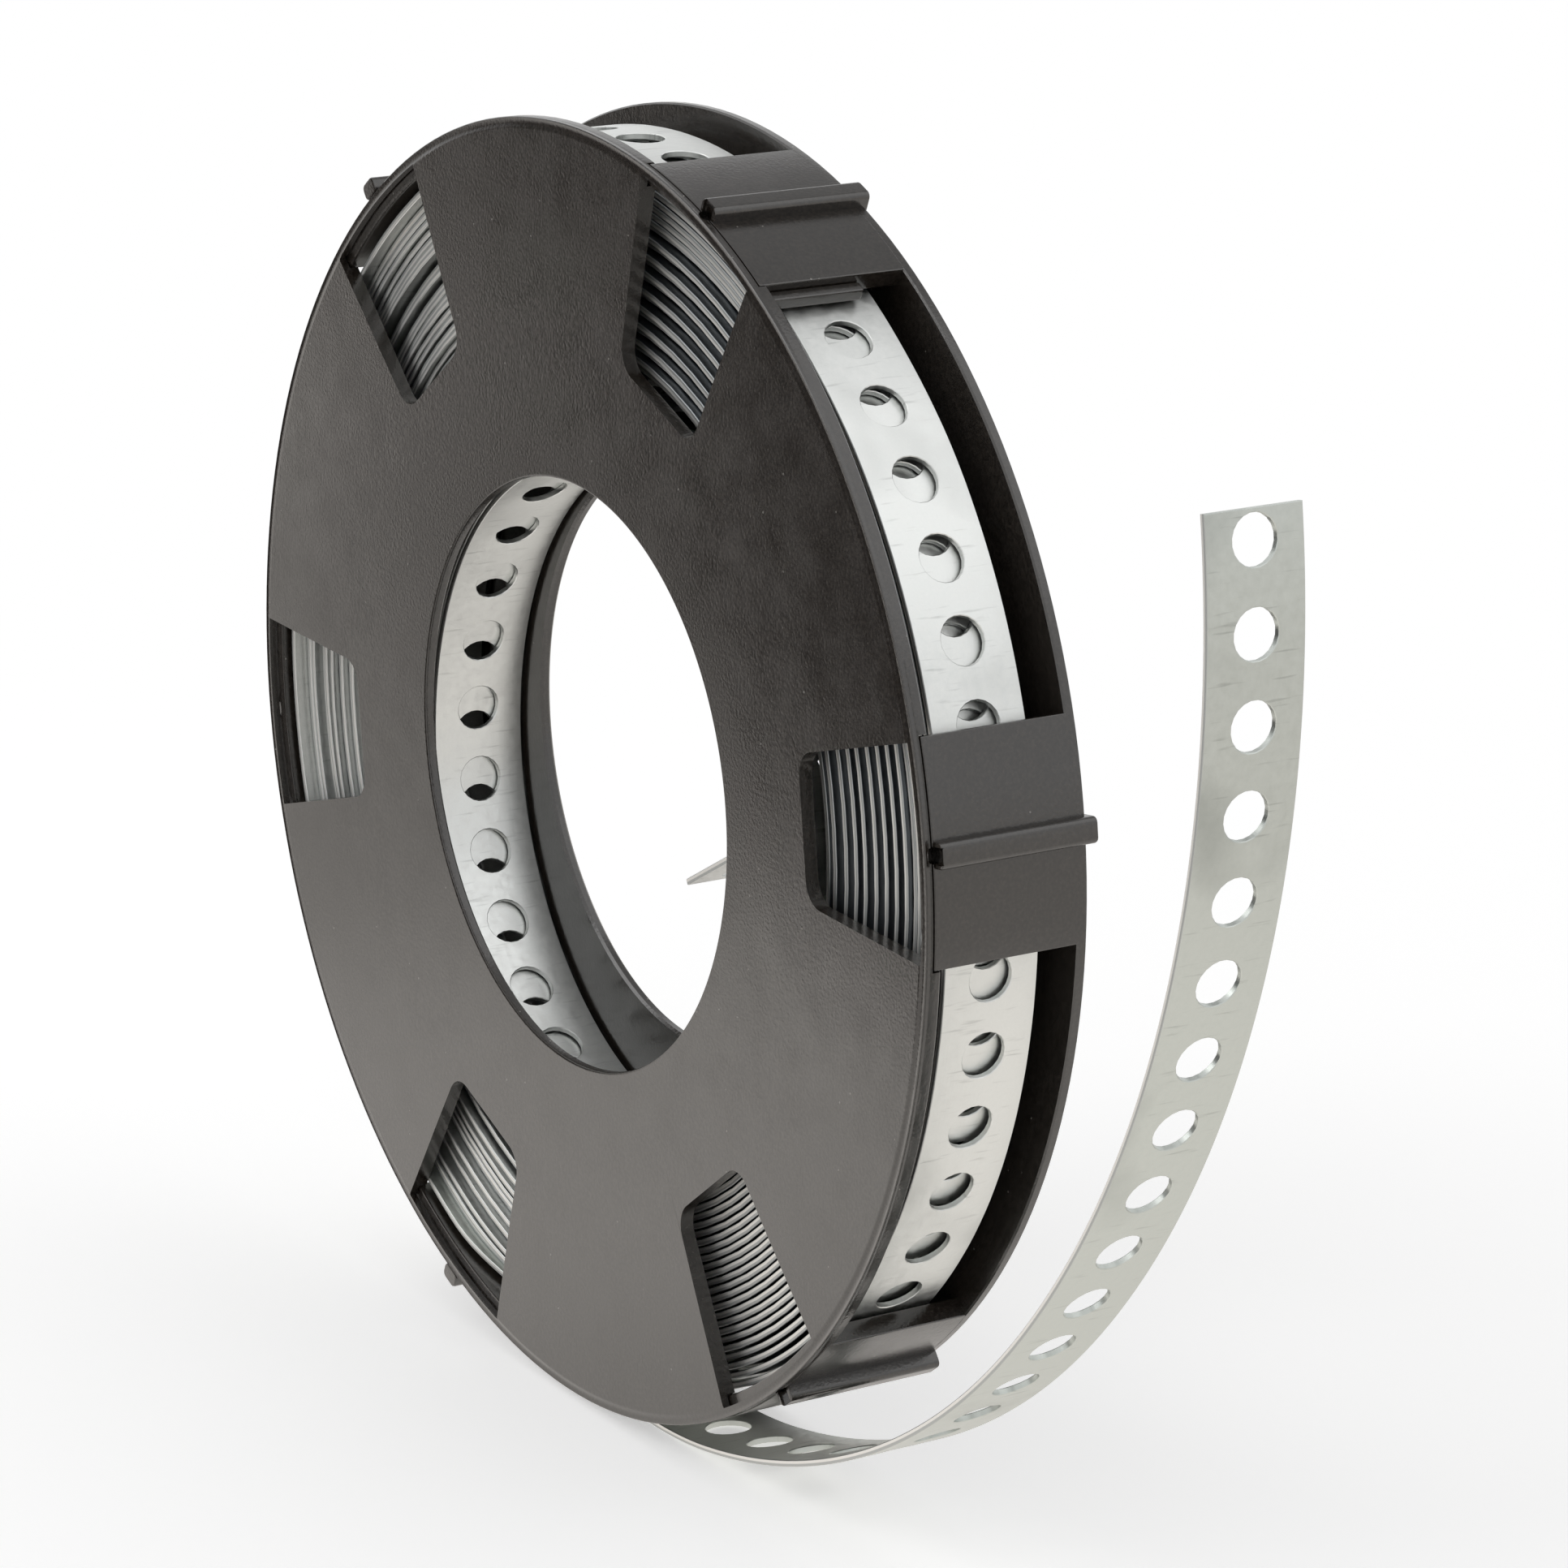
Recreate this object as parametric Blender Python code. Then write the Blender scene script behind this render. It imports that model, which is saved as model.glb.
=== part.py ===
"""Perforated steel strap on a plastic reel, with a free tail.

The reel's axis runs along Y, its front disc faces -Y and the tail leaves to +X.
Sizes are in millimetres around the reel's axis, with Y = 0 at the front hub face.
The finished model is moved so that its origin is the middle of its bottom.
"""

import math

import bmesh
import bpy
from mathutils import Matrix, Vector

MM = 0.001

# Strap
STRAP_WIDTH = 12.0
STRAP_T = 0.75
HOLE_D = 5.5
HOLE_PITCH = 9.45
FIRST_HOLE = 3.2
HOLE_SIDES = 12

# Discs: each is a little dished, so that the rims stand further apart than the hubs.
DISC_R = 76.5
HUB_R = 35.0
DISC_SEGMENTS = 96
FRONT_HUB_T = 1.4
FRONT_RIM_T = 2.0
FRONT_DISH = 0.5
FRONT_EDGE_BEVEL = 1.2
BACK_HUB_T = 1.3
BACK_RIM_T = 1.2
BACK_DISH = 2.8
BACK_EDGE_BEVEL = 0.6
FLAT_HUB_RING = 15.0
FLAT_RIM_RING = 5.5
STRAP_GAP_FRONT = 2.4
STRAP_GAP_BACK = 0.4

# Walls of the back half, one behind each window of the front disc, with an outer rib.
WALLS = 6
WALL_TURN = 7.9
WALL_T = 2.4
WALL_LAP = 0.5
FIT_GAP = 0.35
RIB_WIDTH = 3.0
RIB_HEIGHT = 1.6
RIB_ROUND = 0.9
RIB_OVERHANG = 1.1
WINDOW_ANGLE = 18.3
WINDOW_DEPTH = 24.7
WINDOW_CORNER_R = 3.0

# Ring of the front half that closes each window at the rim, in front of the wall's end.
RIM_RING = 1.1
RIM_RING_T = 1.0
RING_GAP = 0.3
NOTCH_LAP = 0.15

# Tongues of the front half, beside one end of every second wall.
TONGUE_STEP = 2
TONGUE_WIDTH = 1.9
TONGUE_LENGTH = 12.1
TONGUE_RECESS = 0.7

# Wound part of the strap. Its loose inner turns have sunk, so its bore lies off the reel's axis.
COIL_CLEARANCE = 0.7
COIL_HUB_STEP = 5.8
COIL_SIDE = 1.3
COIL_SAG = 4.9
COIL_SEGMENTS = 64
END_RINGS = 10
RING_DEPTH = 0.9
CAP_INSET = 0.12

# Holes of the wound part: one hole's angle on the outer face, and one's about the bore's centre.
OUTER_HOLE = 40.0
BORE_HOLE = 177.0
POCKET_EXTRA = 0.25

# Tail: where it starts inside the coil, then arcs as (degrees, radius over the coil's own).
TAIL_START = 212.5
TAIL_BENDS = [(26.44, 0.890), (14.66, 1.873), (26.88, 1.022), (18.03, 1.523), (18.55, 1.480), (51.52, 1.631)]
PATH_STEP = 5.0

# The strap's inner end is bent into the bore. Its place is an angle about the bore's centre.
TAB_PLACE = 12.9
TAB_SLOPE = 210.0
TAB_LENGTH = 22.7
TAB_ROOT = 5.5
TAB_ROOT_SLOPE = 42.0

FRONT_INNER_Y = FRONT_RIM_T - FRONT_DISH
STRAP_Y = FRONT_HUB_T + STRAP_GAP_FRONT
BACK_HUB_INNER_Y = STRAP_Y + STRAP_WIDTH + STRAP_GAP_BACK
BACK_RIM_INNER_Y = BACK_HUB_INNER_Y + BACK_DISH
BACK_Y = BACK_RIM_INNER_Y + BACK_RIM_T
WALL_INNER_R = DISC_R - WALL_T
COIL_OUT_R = WALL_INNER_R - COIL_CLEARANCE
COIL_IN_R = HUB_R + COIL_HUB_STEP
MIDDLE_Y = STRAP_Y + STRAP_WIDTH / 2
EPS = 0.02
CUT_OVER = 3.0
HOLE_CUT_OVER = 0.4


def polar(r, degrees):
    a = math.radians(degrees)
    return r * math.cos(a), r * math.sin(a)


def arc_degrees(length, r):
    return math.degrees(length / r)


def turned_to(points, degrees):
    c, s = polar(1.0, degrees)
    return [(x * c - z * s, x * s + z * c) for x, z in points]


def wall_angles():
    return [WALL_TURN + 360.0 * k / WALLS for k in range(WALLS)]


def clear_scene():
    for obj in list(bpy.data.objects):
        bpy.data.objects.remove(obj)
    for collection in list(bpy.data.collections):
        bpy.data.collections.remove(collection)


def new_collection(name, helper=False):
    collection = bpy.data.collections.new(name)
    collection.hide_render = helper
    bpy.context.scene.collection.children.link(collection)
    return collection


def material(name, colour, metallic, roughness):
    mat = bpy.data.materials.new(name)
    mat.use_nodes = True
    shader = mat.node_tree.nodes["Principled BSDF"]
    shader.inputs["Base Color"].default_value = (*colour, 1.0)
    shader.inputs["Metallic"].default_value = metallic
    shader.inputs["Roughness"].default_value = roughness
    return mat


class Solid:
    """Collects closed shapes in one mesh, in millimetres."""

    def __init__(self):
        self.bm = bmesh.new()

    def points(self, outline, y):
        return [self.bm.verts.new((x * MM, y * MM, z * MM)) for x, z in outline]

    def band(self, first, second):
        count = len(first)
        for i in range(count):
            j = (i + 1) % count
            self.bm.faces.new((first[j], first[i], second[i], second[j]))

    def turned(self, profile, segments, centre=None):
        """Revolves a closed (radius, y) outline about the reel's axis, or about a centre for each radius."""
        rings = []
        for k in range(segments):
            ring = []
            for r, y in profile:
                spot = Vector(polar(r, 360.0 * k / segments))
                if centre:
                    spot += centre(r)
                ring.append(self.bm.verts.new((spot.x * MM, y * MM, spot.y * MM)))
            rings.append(ring)
        for here, there in zip(rings, rings[1:] + rings[:1]):
            self.band(there, here)

    def prism(self, outline, y0, y1):
        """Extrudes a closed (x, z) outline along the reel's axis."""
        near, far = self.points(outline, y0), self.points(outline, y1)
        self.bm.faces.new(near)
        self.bm.faces.new(list(reversed(far)))
        self.band(near, far)

    def drill(self, point, normal, depth):
        """A round cutter for one strap hole, centred on the strap's middle line."""
        along = Vector((normal[0], 0.0, normal[1])).normalized()
        across = Vector((-along.z, 0.0, along.x))
        ends = []
        for side in (-0.5, 0.5):
            ring = []
            for k in range(HOLE_SIDES):
                u, v = polar(HOLE_D / 2, 360.0 * (k + 0.5) / HOLE_SIDES)
                p = Vector((point[0], MIDDLE_Y, point[1])) + along * (side * depth) + across * u
                ring.append(self.bm.verts.new((p.x * MM, (p.y + v) * MM, p.z * MM)))
            ends.append(ring)
        self.bm.faces.new(ends[0])
        self.bm.faces.new(list(reversed(ends[1])))
        self.band(ends[0], ends[1])

    def strip(self, path):
        """Strap material along a centre line, over the strap's full width."""
        last = len(path) - 1
        sides = []
        for i in range(last + 1):
            along = (path[min(i + 1, last)] - path[max(i - 1, 0)]).normalized()
            sides.append(Vector((along.y, -along.x)) * (STRAP_T / 2))
        outline = [p + n for p, n in zip(path, sides)]
        outline += [p - n for p, n in reversed(list(zip(path, sides)))]
        near = self.points(outline, STRAP_Y)
        far = self.points(outline, STRAP_Y + STRAP_WIDTH)
        for i in range(last):
            a, b = 2 * last + 1 - i, 2 * last - i
            self.bm.faces.new((near[i], near[i + 1], near[b], near[a]))
            self.bm.faces.new((far[a], far[b], far[i + 1], far[i]))
        self.band(near, far)

    def finish(self, name, collection, mat=None):
        bmesh.ops.recalc_face_normals(self.bm, faces=self.bm.faces)
        mesh = bpy.data.meshes.new(name)
        self.bm.to_mesh(mesh)
        self.bm.free()
        obj = bpy.data.objects.new(name, mesh)
        collection.objects.link(obj)
        if mat is None:
            obj.hide_render = True
            obj.display_type = "WIRE"
        else:
            mesh.materials.append(mat)
        return obj


def boolean(obj, other, operation):
    modifier = obj.modifiers.new(operation.title(), "BOOLEAN")
    modifier.operation = operation
    modifier.solver = "EXACT"
    modifier.object = other
    return other


def sector(middle, width, r0, r1, steps):
    """Outline of a part of a ring, width in degrees."""
    angles = [middle - width / 2 + width * k / steps for k in range(steps + 1)]
    return [polar(r1, a) for a in angles] + [polar(r0, a) for a in reversed(angles)]


def window_outline(middle):
    """Radial sides, an arc inside the rim, and a straight inner side with rounded corners."""
    half = WINDOW_ANGLE / 2
    inner_r = DISC_R - WINDOW_DEPTH
    t = math.tan(math.radians(half))
    reach = WINDOW_CORNER_R * math.tan(math.radians(45.0 - half / 2))
    cx, cz = inner_r + WINDOW_CORNER_R, inner_r * t - reach + WINDOW_CORNER_R * t
    corner = []
    for k in range(5):
        dx, dz = polar(WINDOW_CORNER_R, 90.0 + half + (90.0 - half) * k / 4)
        corner.append((cx + dx, min(cz + dz, (cx + dx) * t)))
    arc = [polar(DISC_R - RIM_RING, half * k / 5) for k in (1, 3, 5)]
    upper = arc + corner
    return turned_to(upper + [(x, -z) for x, z in reversed(upper)], middle)


def build_front(parts, cutters, mat):
    """Front half: a dished disc with windows, notches for the walls' ends, and tongues."""
    body = Solid()
    body.turned([
        (HUB_R, 0.0), (DISC_R - FRONT_EDGE_BEVEL, -FRONT_DISH),
        (DISC_R, -FRONT_DISH + FRONT_EDGE_BEVEL / 2), (DISC_R, FRONT_INNER_Y),
        (WALL_INNER_R, FRONT_INNER_Y), (HUB_R, FRONT_HUB_T),
    ], DISC_SEGMENTS)
    front = body.finish("cassette_front", parts, mat)
    windows, notches, tongues = Solid(), Solid(), Solid()
    notch = WINDOW_ANGLE + 2 * arc_degrees(NOTCH_LAP, DISC_R)
    outer_r = DISC_R - TONGUE_RECESS
    inner_r = COIL_OUT_R + COIL_CLEARANCE - 0.15
    width = arc_degrees(TONGUE_WIDTH, DISC_R)
    for k, angle in enumerate(wall_angles()):
        windows.prism(window_outline(angle), -FRONT_DISH - CUT_OVER, FRONT_INNER_Y + CUT_OVER)
        notches.prism(sector(angle, notch, DISC_R - RIM_RING - NOTCH_LAP, DISC_R + CUT_OVER, 5),
                      RIM_RING_T - FRONT_DISH, FRONT_INNER_Y + CUT_OVER)
        if k % TONGUE_STEP == 0:
            continue
        wall_end = angle - WINDOW_ANGLE / 2 - arc_degrees(WALL_LAP + FIT_GAP, DISC_R)
        middle = wall_end - width / 2
        tongues.prism(sector(middle, width, inner_r, outer_r, 1),
                      FRONT_INNER_Y - FRONT_RIM_T / 3, FRONT_INNER_Y + TONGUE_LENGTH)
    boolean(front, windows.finish("front_windows", cutters), "DIFFERENCE")
    boolean(front, notches.finish("front_notches", cutters), "DIFFERENCE")
    return [front, boolean(front, tongues.finish("front_tongues", cutters), "UNION")]


def rib_outline(middle):
    """Cross-section of an outer rib with rounded corners, its foot sunk into the wall."""
    w, top = RIB_WIDTH / 2, DISC_R + RIB_HEIGHT
    low = DISC_R - WALL_T / 2
    near = RIB_ROUND * (1.0 - math.sqrt(0.5))
    upper = [(low, w), (top - RIB_ROUND, w), (top - near, w - near), (top, w - RIB_ROUND)]
    return turned_to(upper + [(x, -z) for x, z in reversed(upper)], middle)


def build_back(parts, cutters, mat):
    """Back half: a dished disc whose walls reach forward to the front disc's rim."""
    body = Solid()
    ring = HUB_R + FLAT_HUB_RING
    rim = DISC_R - FLAT_RIM_RING
    hub_y = BACK_HUB_INNER_Y + BACK_HUB_T
    body.turned([
        (HUB_R, BACK_HUB_INNER_Y), (ring, BACK_HUB_INNER_Y + 0.3), (rim, BACK_RIM_INNER_Y),
        (DISC_R, BACK_RIM_INNER_Y), (DISC_R, BACK_Y - BACK_EDGE_BEVEL),
        (DISC_R - BACK_EDGE_BEVEL, BACK_Y), (rim, BACK_Y), (ring, hub_y + 0.3), (HUB_R, hub_y),
    ], DISC_SEGMENTS)
    back = body.finish("cassette_back", parts, mat)
    walls, ends, ribs = Solid(), Solid(), Solid()
    wall = WINDOW_ANGLE + 2 * arc_degrees(WALL_LAP, DISC_R)
    end = WINDOW_ANGLE - 2 * arc_degrees(FIT_GAP, WALL_INNER_R)
    front_y = RIM_RING_T + RING_GAP - FRONT_DISH
    step_y = FRONT_INNER_Y + FIT_GAP
    for angle in wall_angles():
        walls.prism(sector(angle, wall, WALL_INNER_R, DISC_R - EPS, 5),
                    step_y, BACK_RIM_INNER_Y + BACK_RIM_T / 2)
        ends.prism(sector(angle, end, WALL_INNER_R + EPS, DISC_R - 2 * EPS, 5),
                   front_y, step_y + WALL_T)
        ribs.prism(rib_outline(angle), front_y + 0.1, BACK_Y + RIB_OVERHANG)
    return [back] + [
        boolean(back, shape.finish(name, cutters), "UNION")
        for shape, name in ((walls, "back_walls"), (ends, "back_wall_ends"), (ribs, "back_ribs"))
    ]


def arc_path(point, heading, bends):
    """Centre line that turns left along arcs given as (degrees, radius)."""
    path = [Vector(point)]
    for degrees, r in bends:
        steps = max(2, round(math.radians(degrees) * r / PATH_STEP))
        for _ in range(steps):
            turn = degrees / steps
            chord = 2 * r * math.sin(math.radians(turn / 2))
            path.append(path[-1] + Vector(polar(chord, heading + turn / 2)))
            heading += turn
    return path


def tail_path():
    r = COIL_OUT_R - STRAP_T / 2
    bends = [(degrees, ratio * r) for degrees, ratio in TAIL_BENDS]
    return arc_path(polar(r, TAIL_START), TAIL_START + 90.0, bends)


def coil_centre(r):
    """Centre of the wound strap's circle of one radius: on the axis outside, off it at the bore."""
    share = (COIL_OUT_R - r) / (COIL_OUT_R - COIL_IN_R)
    return Vector((COIL_SIDE, -COIL_SAG)) * share


def bore_place(degrees):
    """Point of the bore's face at an angle about the bore's centre."""
    return coil_centre(COIL_IN_R) + Vector(polar(COIL_IN_R, degrees))


def tab_path():
    bend = bore_place(TAB_PLACE)
    root = bend + Vector(polar(TAB_ROOT, TAB_ROOT_SLOPE))
    return [root, bend, bend + Vector(polar(TAB_LENGTH, TAB_SLOPE))]


def hole_places(path):
    """(point, normal) of each hole along a centre line, counted from its last point."""
    back = list(reversed(path))
    found, run, target = [], 0.0, FIRST_HOLE
    for a, b in zip(back, back[1:]):
        length = (b - a).length
        along = (b - a) / length
        while run + length >= target:
            found.append((a + along * (target - run), (along.y, -along.x)))
            target += HOLE_PITCH
        run += length
    return found


def coil_profile():
    """Outline of the wound strap: its turns show as rings on both ends."""
    step = (COIL_OUT_R - COIL_IN_R) / END_RINGS
    near = []
    for k in range(END_RINGS):
        near.append((COIL_IN_R + step * k, CAP_INSET))
        if k < END_RINGS - 1:
            near.append((COIL_IN_R + step * (k + 0.7), RING_DEPTH))
    near.append((COIL_OUT_R, CAP_INSET))
    front = [(r, STRAP_Y + depth) for r, depth in near]
    back = [(r, STRAP_Y + STRAP_WIDTH - depth) for r, depth in reversed(near)]
    return front + back


def holes_round(first, r, seam):
    """Angles of the holes round a circle, from one of them, but none beside its seam."""
    step = arc_degrees(HOLE_PITCH, r)
    angles = [first + step * k for k in range(int(360.0 / step))]
    return [angle for angle in angles if step < (seam - angle) % 360.0 < 360.0 - 1.5 * step]


def in_rim_gap(angle):
    """True where a hole of the outermost turn shows between two walls."""
    pitch = 360.0 / WALLS
    off = (angle - WALL_TURN + pitch / 2) % pitch - pitch / 2
    return abs(off) > WINDOW_ANGLE / 2


def build_strap(parts, cutters, mat):
    """The wound strap as one turned solid, with its tail, its bent inner end and its holes."""
    body = Solid()
    body.turned(coil_profile(), COIL_SEGMENTS, coil_centre)
    strap = body.finish("strap", parts, mat)
    ends = Solid()
    path = tail_path()
    ends.strip(path)
    ends.strip(tab_path())
    free_ends = boolean(strap, ends.finish("strap_free_ends", cutters), "UNION")

    holes = Solid()
    clear_r = COIL_OUT_R + STRAP_T
    free = [place for place in hole_places(path) if place[0].length > clear_r]
    for point, normal in free + hole_places(tab_path()[1:])[:1]:
        holes.drill(point, normal, STRAP_T + 2 * HOLE_CUT_OVER)
    first = free[-1][0]
    leaves = math.degrees(math.atan2(first.y, first.x))
    pocket = 2 * (STRAP_T + POCKET_EXTRA)
    for angle in holes_round(OUTER_HOLE, COIL_OUT_R, leaves):
        if in_rim_gap(angle):
            place = polar(COIL_OUT_R, angle)
            holes.drill(place, place, pocket)
    for angle in holes_round(BORE_HOLE, COIL_IN_R, TAB_PLACE):
        holes.drill(bore_place(angle), polar(1.0, angle), pocket)
    boolean(strap, holes.finish("strap_holes", cutters), "DIFFERENCE")
    return [strap, free_ends]


def centre_on_floor(solids):
    """Moves every mesh so that the origin is the middle of the bottom of what adds material."""
    corners = [v.co for obj in solids for v in obj.data.vertices]
    low = [min(c[i] for c in corners) for i in range(3)]
    high = [max(c[i] for c in corners) for i in range(3)]
    shift = Vector((-(low[0] + high[0]) / 2, -(low[1] + high[1]) / 2, -low[2]))
    for mesh in bpy.data.meshes:
        mesh.transform(Matrix.Translation(shift))
    print("shift mm", [round(v / MM, 4) for v in shift])


def main():
    clear_scene()
    parts = new_collection("perforated_steel_strap")
    cutters = new_collection("cutters", helper=True)
    plastic = material("black_plastic", (0.02, 0.02, 0.021), 0.0, 0.45)
    steel = material("zinc_plated_steel", (0.56, 0.57, 0.58), 1.0, 0.35)
    solids = build_front(parts, cutters, plastic)
    solids += build_back(parts, cutters, plastic)
    solids += build_strap(parts, cutters, steel)
    centre_on_floor(solids)


main()
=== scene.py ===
"""Perforated steel strap wound on its black plastic cassette, dressed for the photograph.

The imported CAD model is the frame. Every new piece is built in millimetres about the reel's
axis, with Y = 0 at the front hub face, and is then moved to the place of the CAD node it
stands for.
"""

from __future__ import annotations

import bisect
import logging
import math
import random
import sys
from dataclasses import dataclass, field
from enum import Enum

import bmesh
import bpy
from mathutils import Matrix, Vector

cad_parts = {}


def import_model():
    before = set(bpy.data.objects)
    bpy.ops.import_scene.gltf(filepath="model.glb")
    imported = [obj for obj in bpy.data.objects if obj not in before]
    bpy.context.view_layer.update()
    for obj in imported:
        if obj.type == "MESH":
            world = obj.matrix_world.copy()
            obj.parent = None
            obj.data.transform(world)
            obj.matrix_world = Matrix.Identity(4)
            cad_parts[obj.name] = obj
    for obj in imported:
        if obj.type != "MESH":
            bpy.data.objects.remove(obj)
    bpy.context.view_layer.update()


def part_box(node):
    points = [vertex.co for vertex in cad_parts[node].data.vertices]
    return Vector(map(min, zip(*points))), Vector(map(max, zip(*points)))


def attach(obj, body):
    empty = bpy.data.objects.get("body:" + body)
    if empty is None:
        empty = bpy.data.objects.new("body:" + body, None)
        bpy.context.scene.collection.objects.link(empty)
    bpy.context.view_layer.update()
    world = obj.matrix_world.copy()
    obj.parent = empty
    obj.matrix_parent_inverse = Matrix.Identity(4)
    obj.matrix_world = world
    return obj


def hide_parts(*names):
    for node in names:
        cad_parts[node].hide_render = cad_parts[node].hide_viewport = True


MM = 0.001
SEED = 4711

log = logging.getLogger("strap_cassette")


class Slot(Enum):
    """Material slots that the record names."""

    PLASTIC = "black_plastic"
    STEEL = "zinc_plated_steel"


def linear(colour: str) -> tuple[float, float, float, float]:
    """Turn an sRGB hex colour into linear RGBA.

    Args:
        colour: Six hex digits with a leading hash.

    Returns:
        Linear red, green, blue and an alpha of 1.
    """
    parts = [int(colour[i:i + 2], 16) / 255.0 for i in (1, 3, 5)]
    red, green, blue = (c / 12.92 if c <= 0.04045 else ((c + 0.055) / 1.055) ** 2.4 for c in parts)
    return red, green, blue, 1.0


def polar(radius: float, degrees: float) -> tuple[float, float]:
    """Turn a radius and an angle about the reel's axis into a place.

    Args:
        radius: Distance from the axis.
        degrees: Angle from the X axis, in degrees.

    Returns:
        The x and z of the point.
    """
    angle = math.radians(degrees)
    return radius * math.cos(angle), radius * math.sin(angle)


def add_node(tree: bpy.types.NodeTree, kind: str, settings: dict | None = None,
             links: dict | None = None) -> bpy.types.Node:
    """Add one shader node.

    Args:
        tree: Node tree that gets the node.
        kind: Blender's type name of the node.
        settings: Values for properties, or for inputs where the key is a socket.
        links: Output sockets to join, keyed by the input's name or number.

    Returns:
        The new node.
    """
    node = tree.nodes.new(kind)
    for key, value in (settings or {}).items():
        if isinstance(key, str) and hasattr(node, key):
            setattr(node, key, value)
        else:
            node.inputs[key].default_value = value
    for key, source in (links or {}).items():
        tree.links.new(source, node.inputs[key])
    return node


@dataclass
class Reel:
    """Place and shared sizes of the cassette, in millimetres about its axis.

    The keyhole is the small round recess in the rim in front of each rib.
    """

    origin: Vector
    disc_r: float
    back_y: float
    hub_r: float = 35.0
    rim_dish: float = 0.5
    walls: int = 6
    wall_turn: float = 7.9
    wall_inner_gap: float = 2.4
    wall_lap: float = 0.5
    ring_width: float = 1.1
    ring_t: float = 0.9
    ring_gap: float = 0.2
    window_angle: float = 18.3
    window_depth: float = 24.7
    strap_y: float = 3.8
    strap_width: float = 12.0
    keyhole_r: float = 0.85
    keyhole_depth: float = 2.4
    keyhole_stretch: float = 1.15
    keyhole_out: float = 0.35
    keyhole_back: float = 0.15
    back_rib_overhang: float = 1.1

    @classmethod
    def from_frame(cls) -> "Reel":
        """Read the reel's place and outer sizes from the CAD nodes.

        Returns:
            The reel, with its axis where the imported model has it.
        """
        low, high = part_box("cassette_back")
        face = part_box("cassette_front")[0].y
        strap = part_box("strap")[0].y
        origin = Vector(((low.x + high.x) / 2, face + cls.rim_dish * MM, (low.z + high.z) / 2))
        back = (high.y - origin.y) / MM - cls.back_rib_overhang
        reel = cls(origin, (high.z - low.z) / 2 / MM, back)
        reel.strap_y = (strap - origin.y) / MM
        return reel

    @property
    def wall_inner_r(self) -> float:
        """Inner radius of the walls."""
        return self.disc_r - self.wall_inner_gap

    @property
    def wall_front_y(self) -> float:
        """Front of the walls' ends, just behind the ring that closes the windows."""
        return self.ring_t + self.ring_gap - self.rim_dish

    @property
    def wall_angles(self) -> list[float]:
        """Middle angle of each wall and window, in degrees."""
        return [self.wall_turn + 360.0 * k / self.walls for k in range(self.walls)]

    def place(self, bm: bmesh.types.BMesh, name: str, smooth_angle: float = 35.0) -> bpy.types.Object:
        """Turn a finished bmesh in millimetres into an object in the row frame.

        Args:
            bm: Mesh about the reel's axis, in millimetres. It is freed.
            name: Name of the piece.
            smooth_angle: Edges sharper than this stay crisp, in degrees.

        Returns:
            The object, at the origin, with its place in its mesh.
        """
        bmesh.ops.transform(bm, matrix=Matrix.Translation(self.origin) @ Matrix.Scale(MM, 4),
                            verts=bm.verts)
        for face in bm.faces:
            face.smooth = True
        for edge in bm.edges:
            edge.smooth = edge.calc_face_angle(0.0) < math.radians(smooth_angle)
        mesh = bpy.data.meshes.new(name)
        bm.to_mesh(mesh)
        bm.free()
        obj = bpy.data.objects.new(name, mesh)
        bpy.context.scene.collection.objects.link(obj)
        return obj


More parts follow.
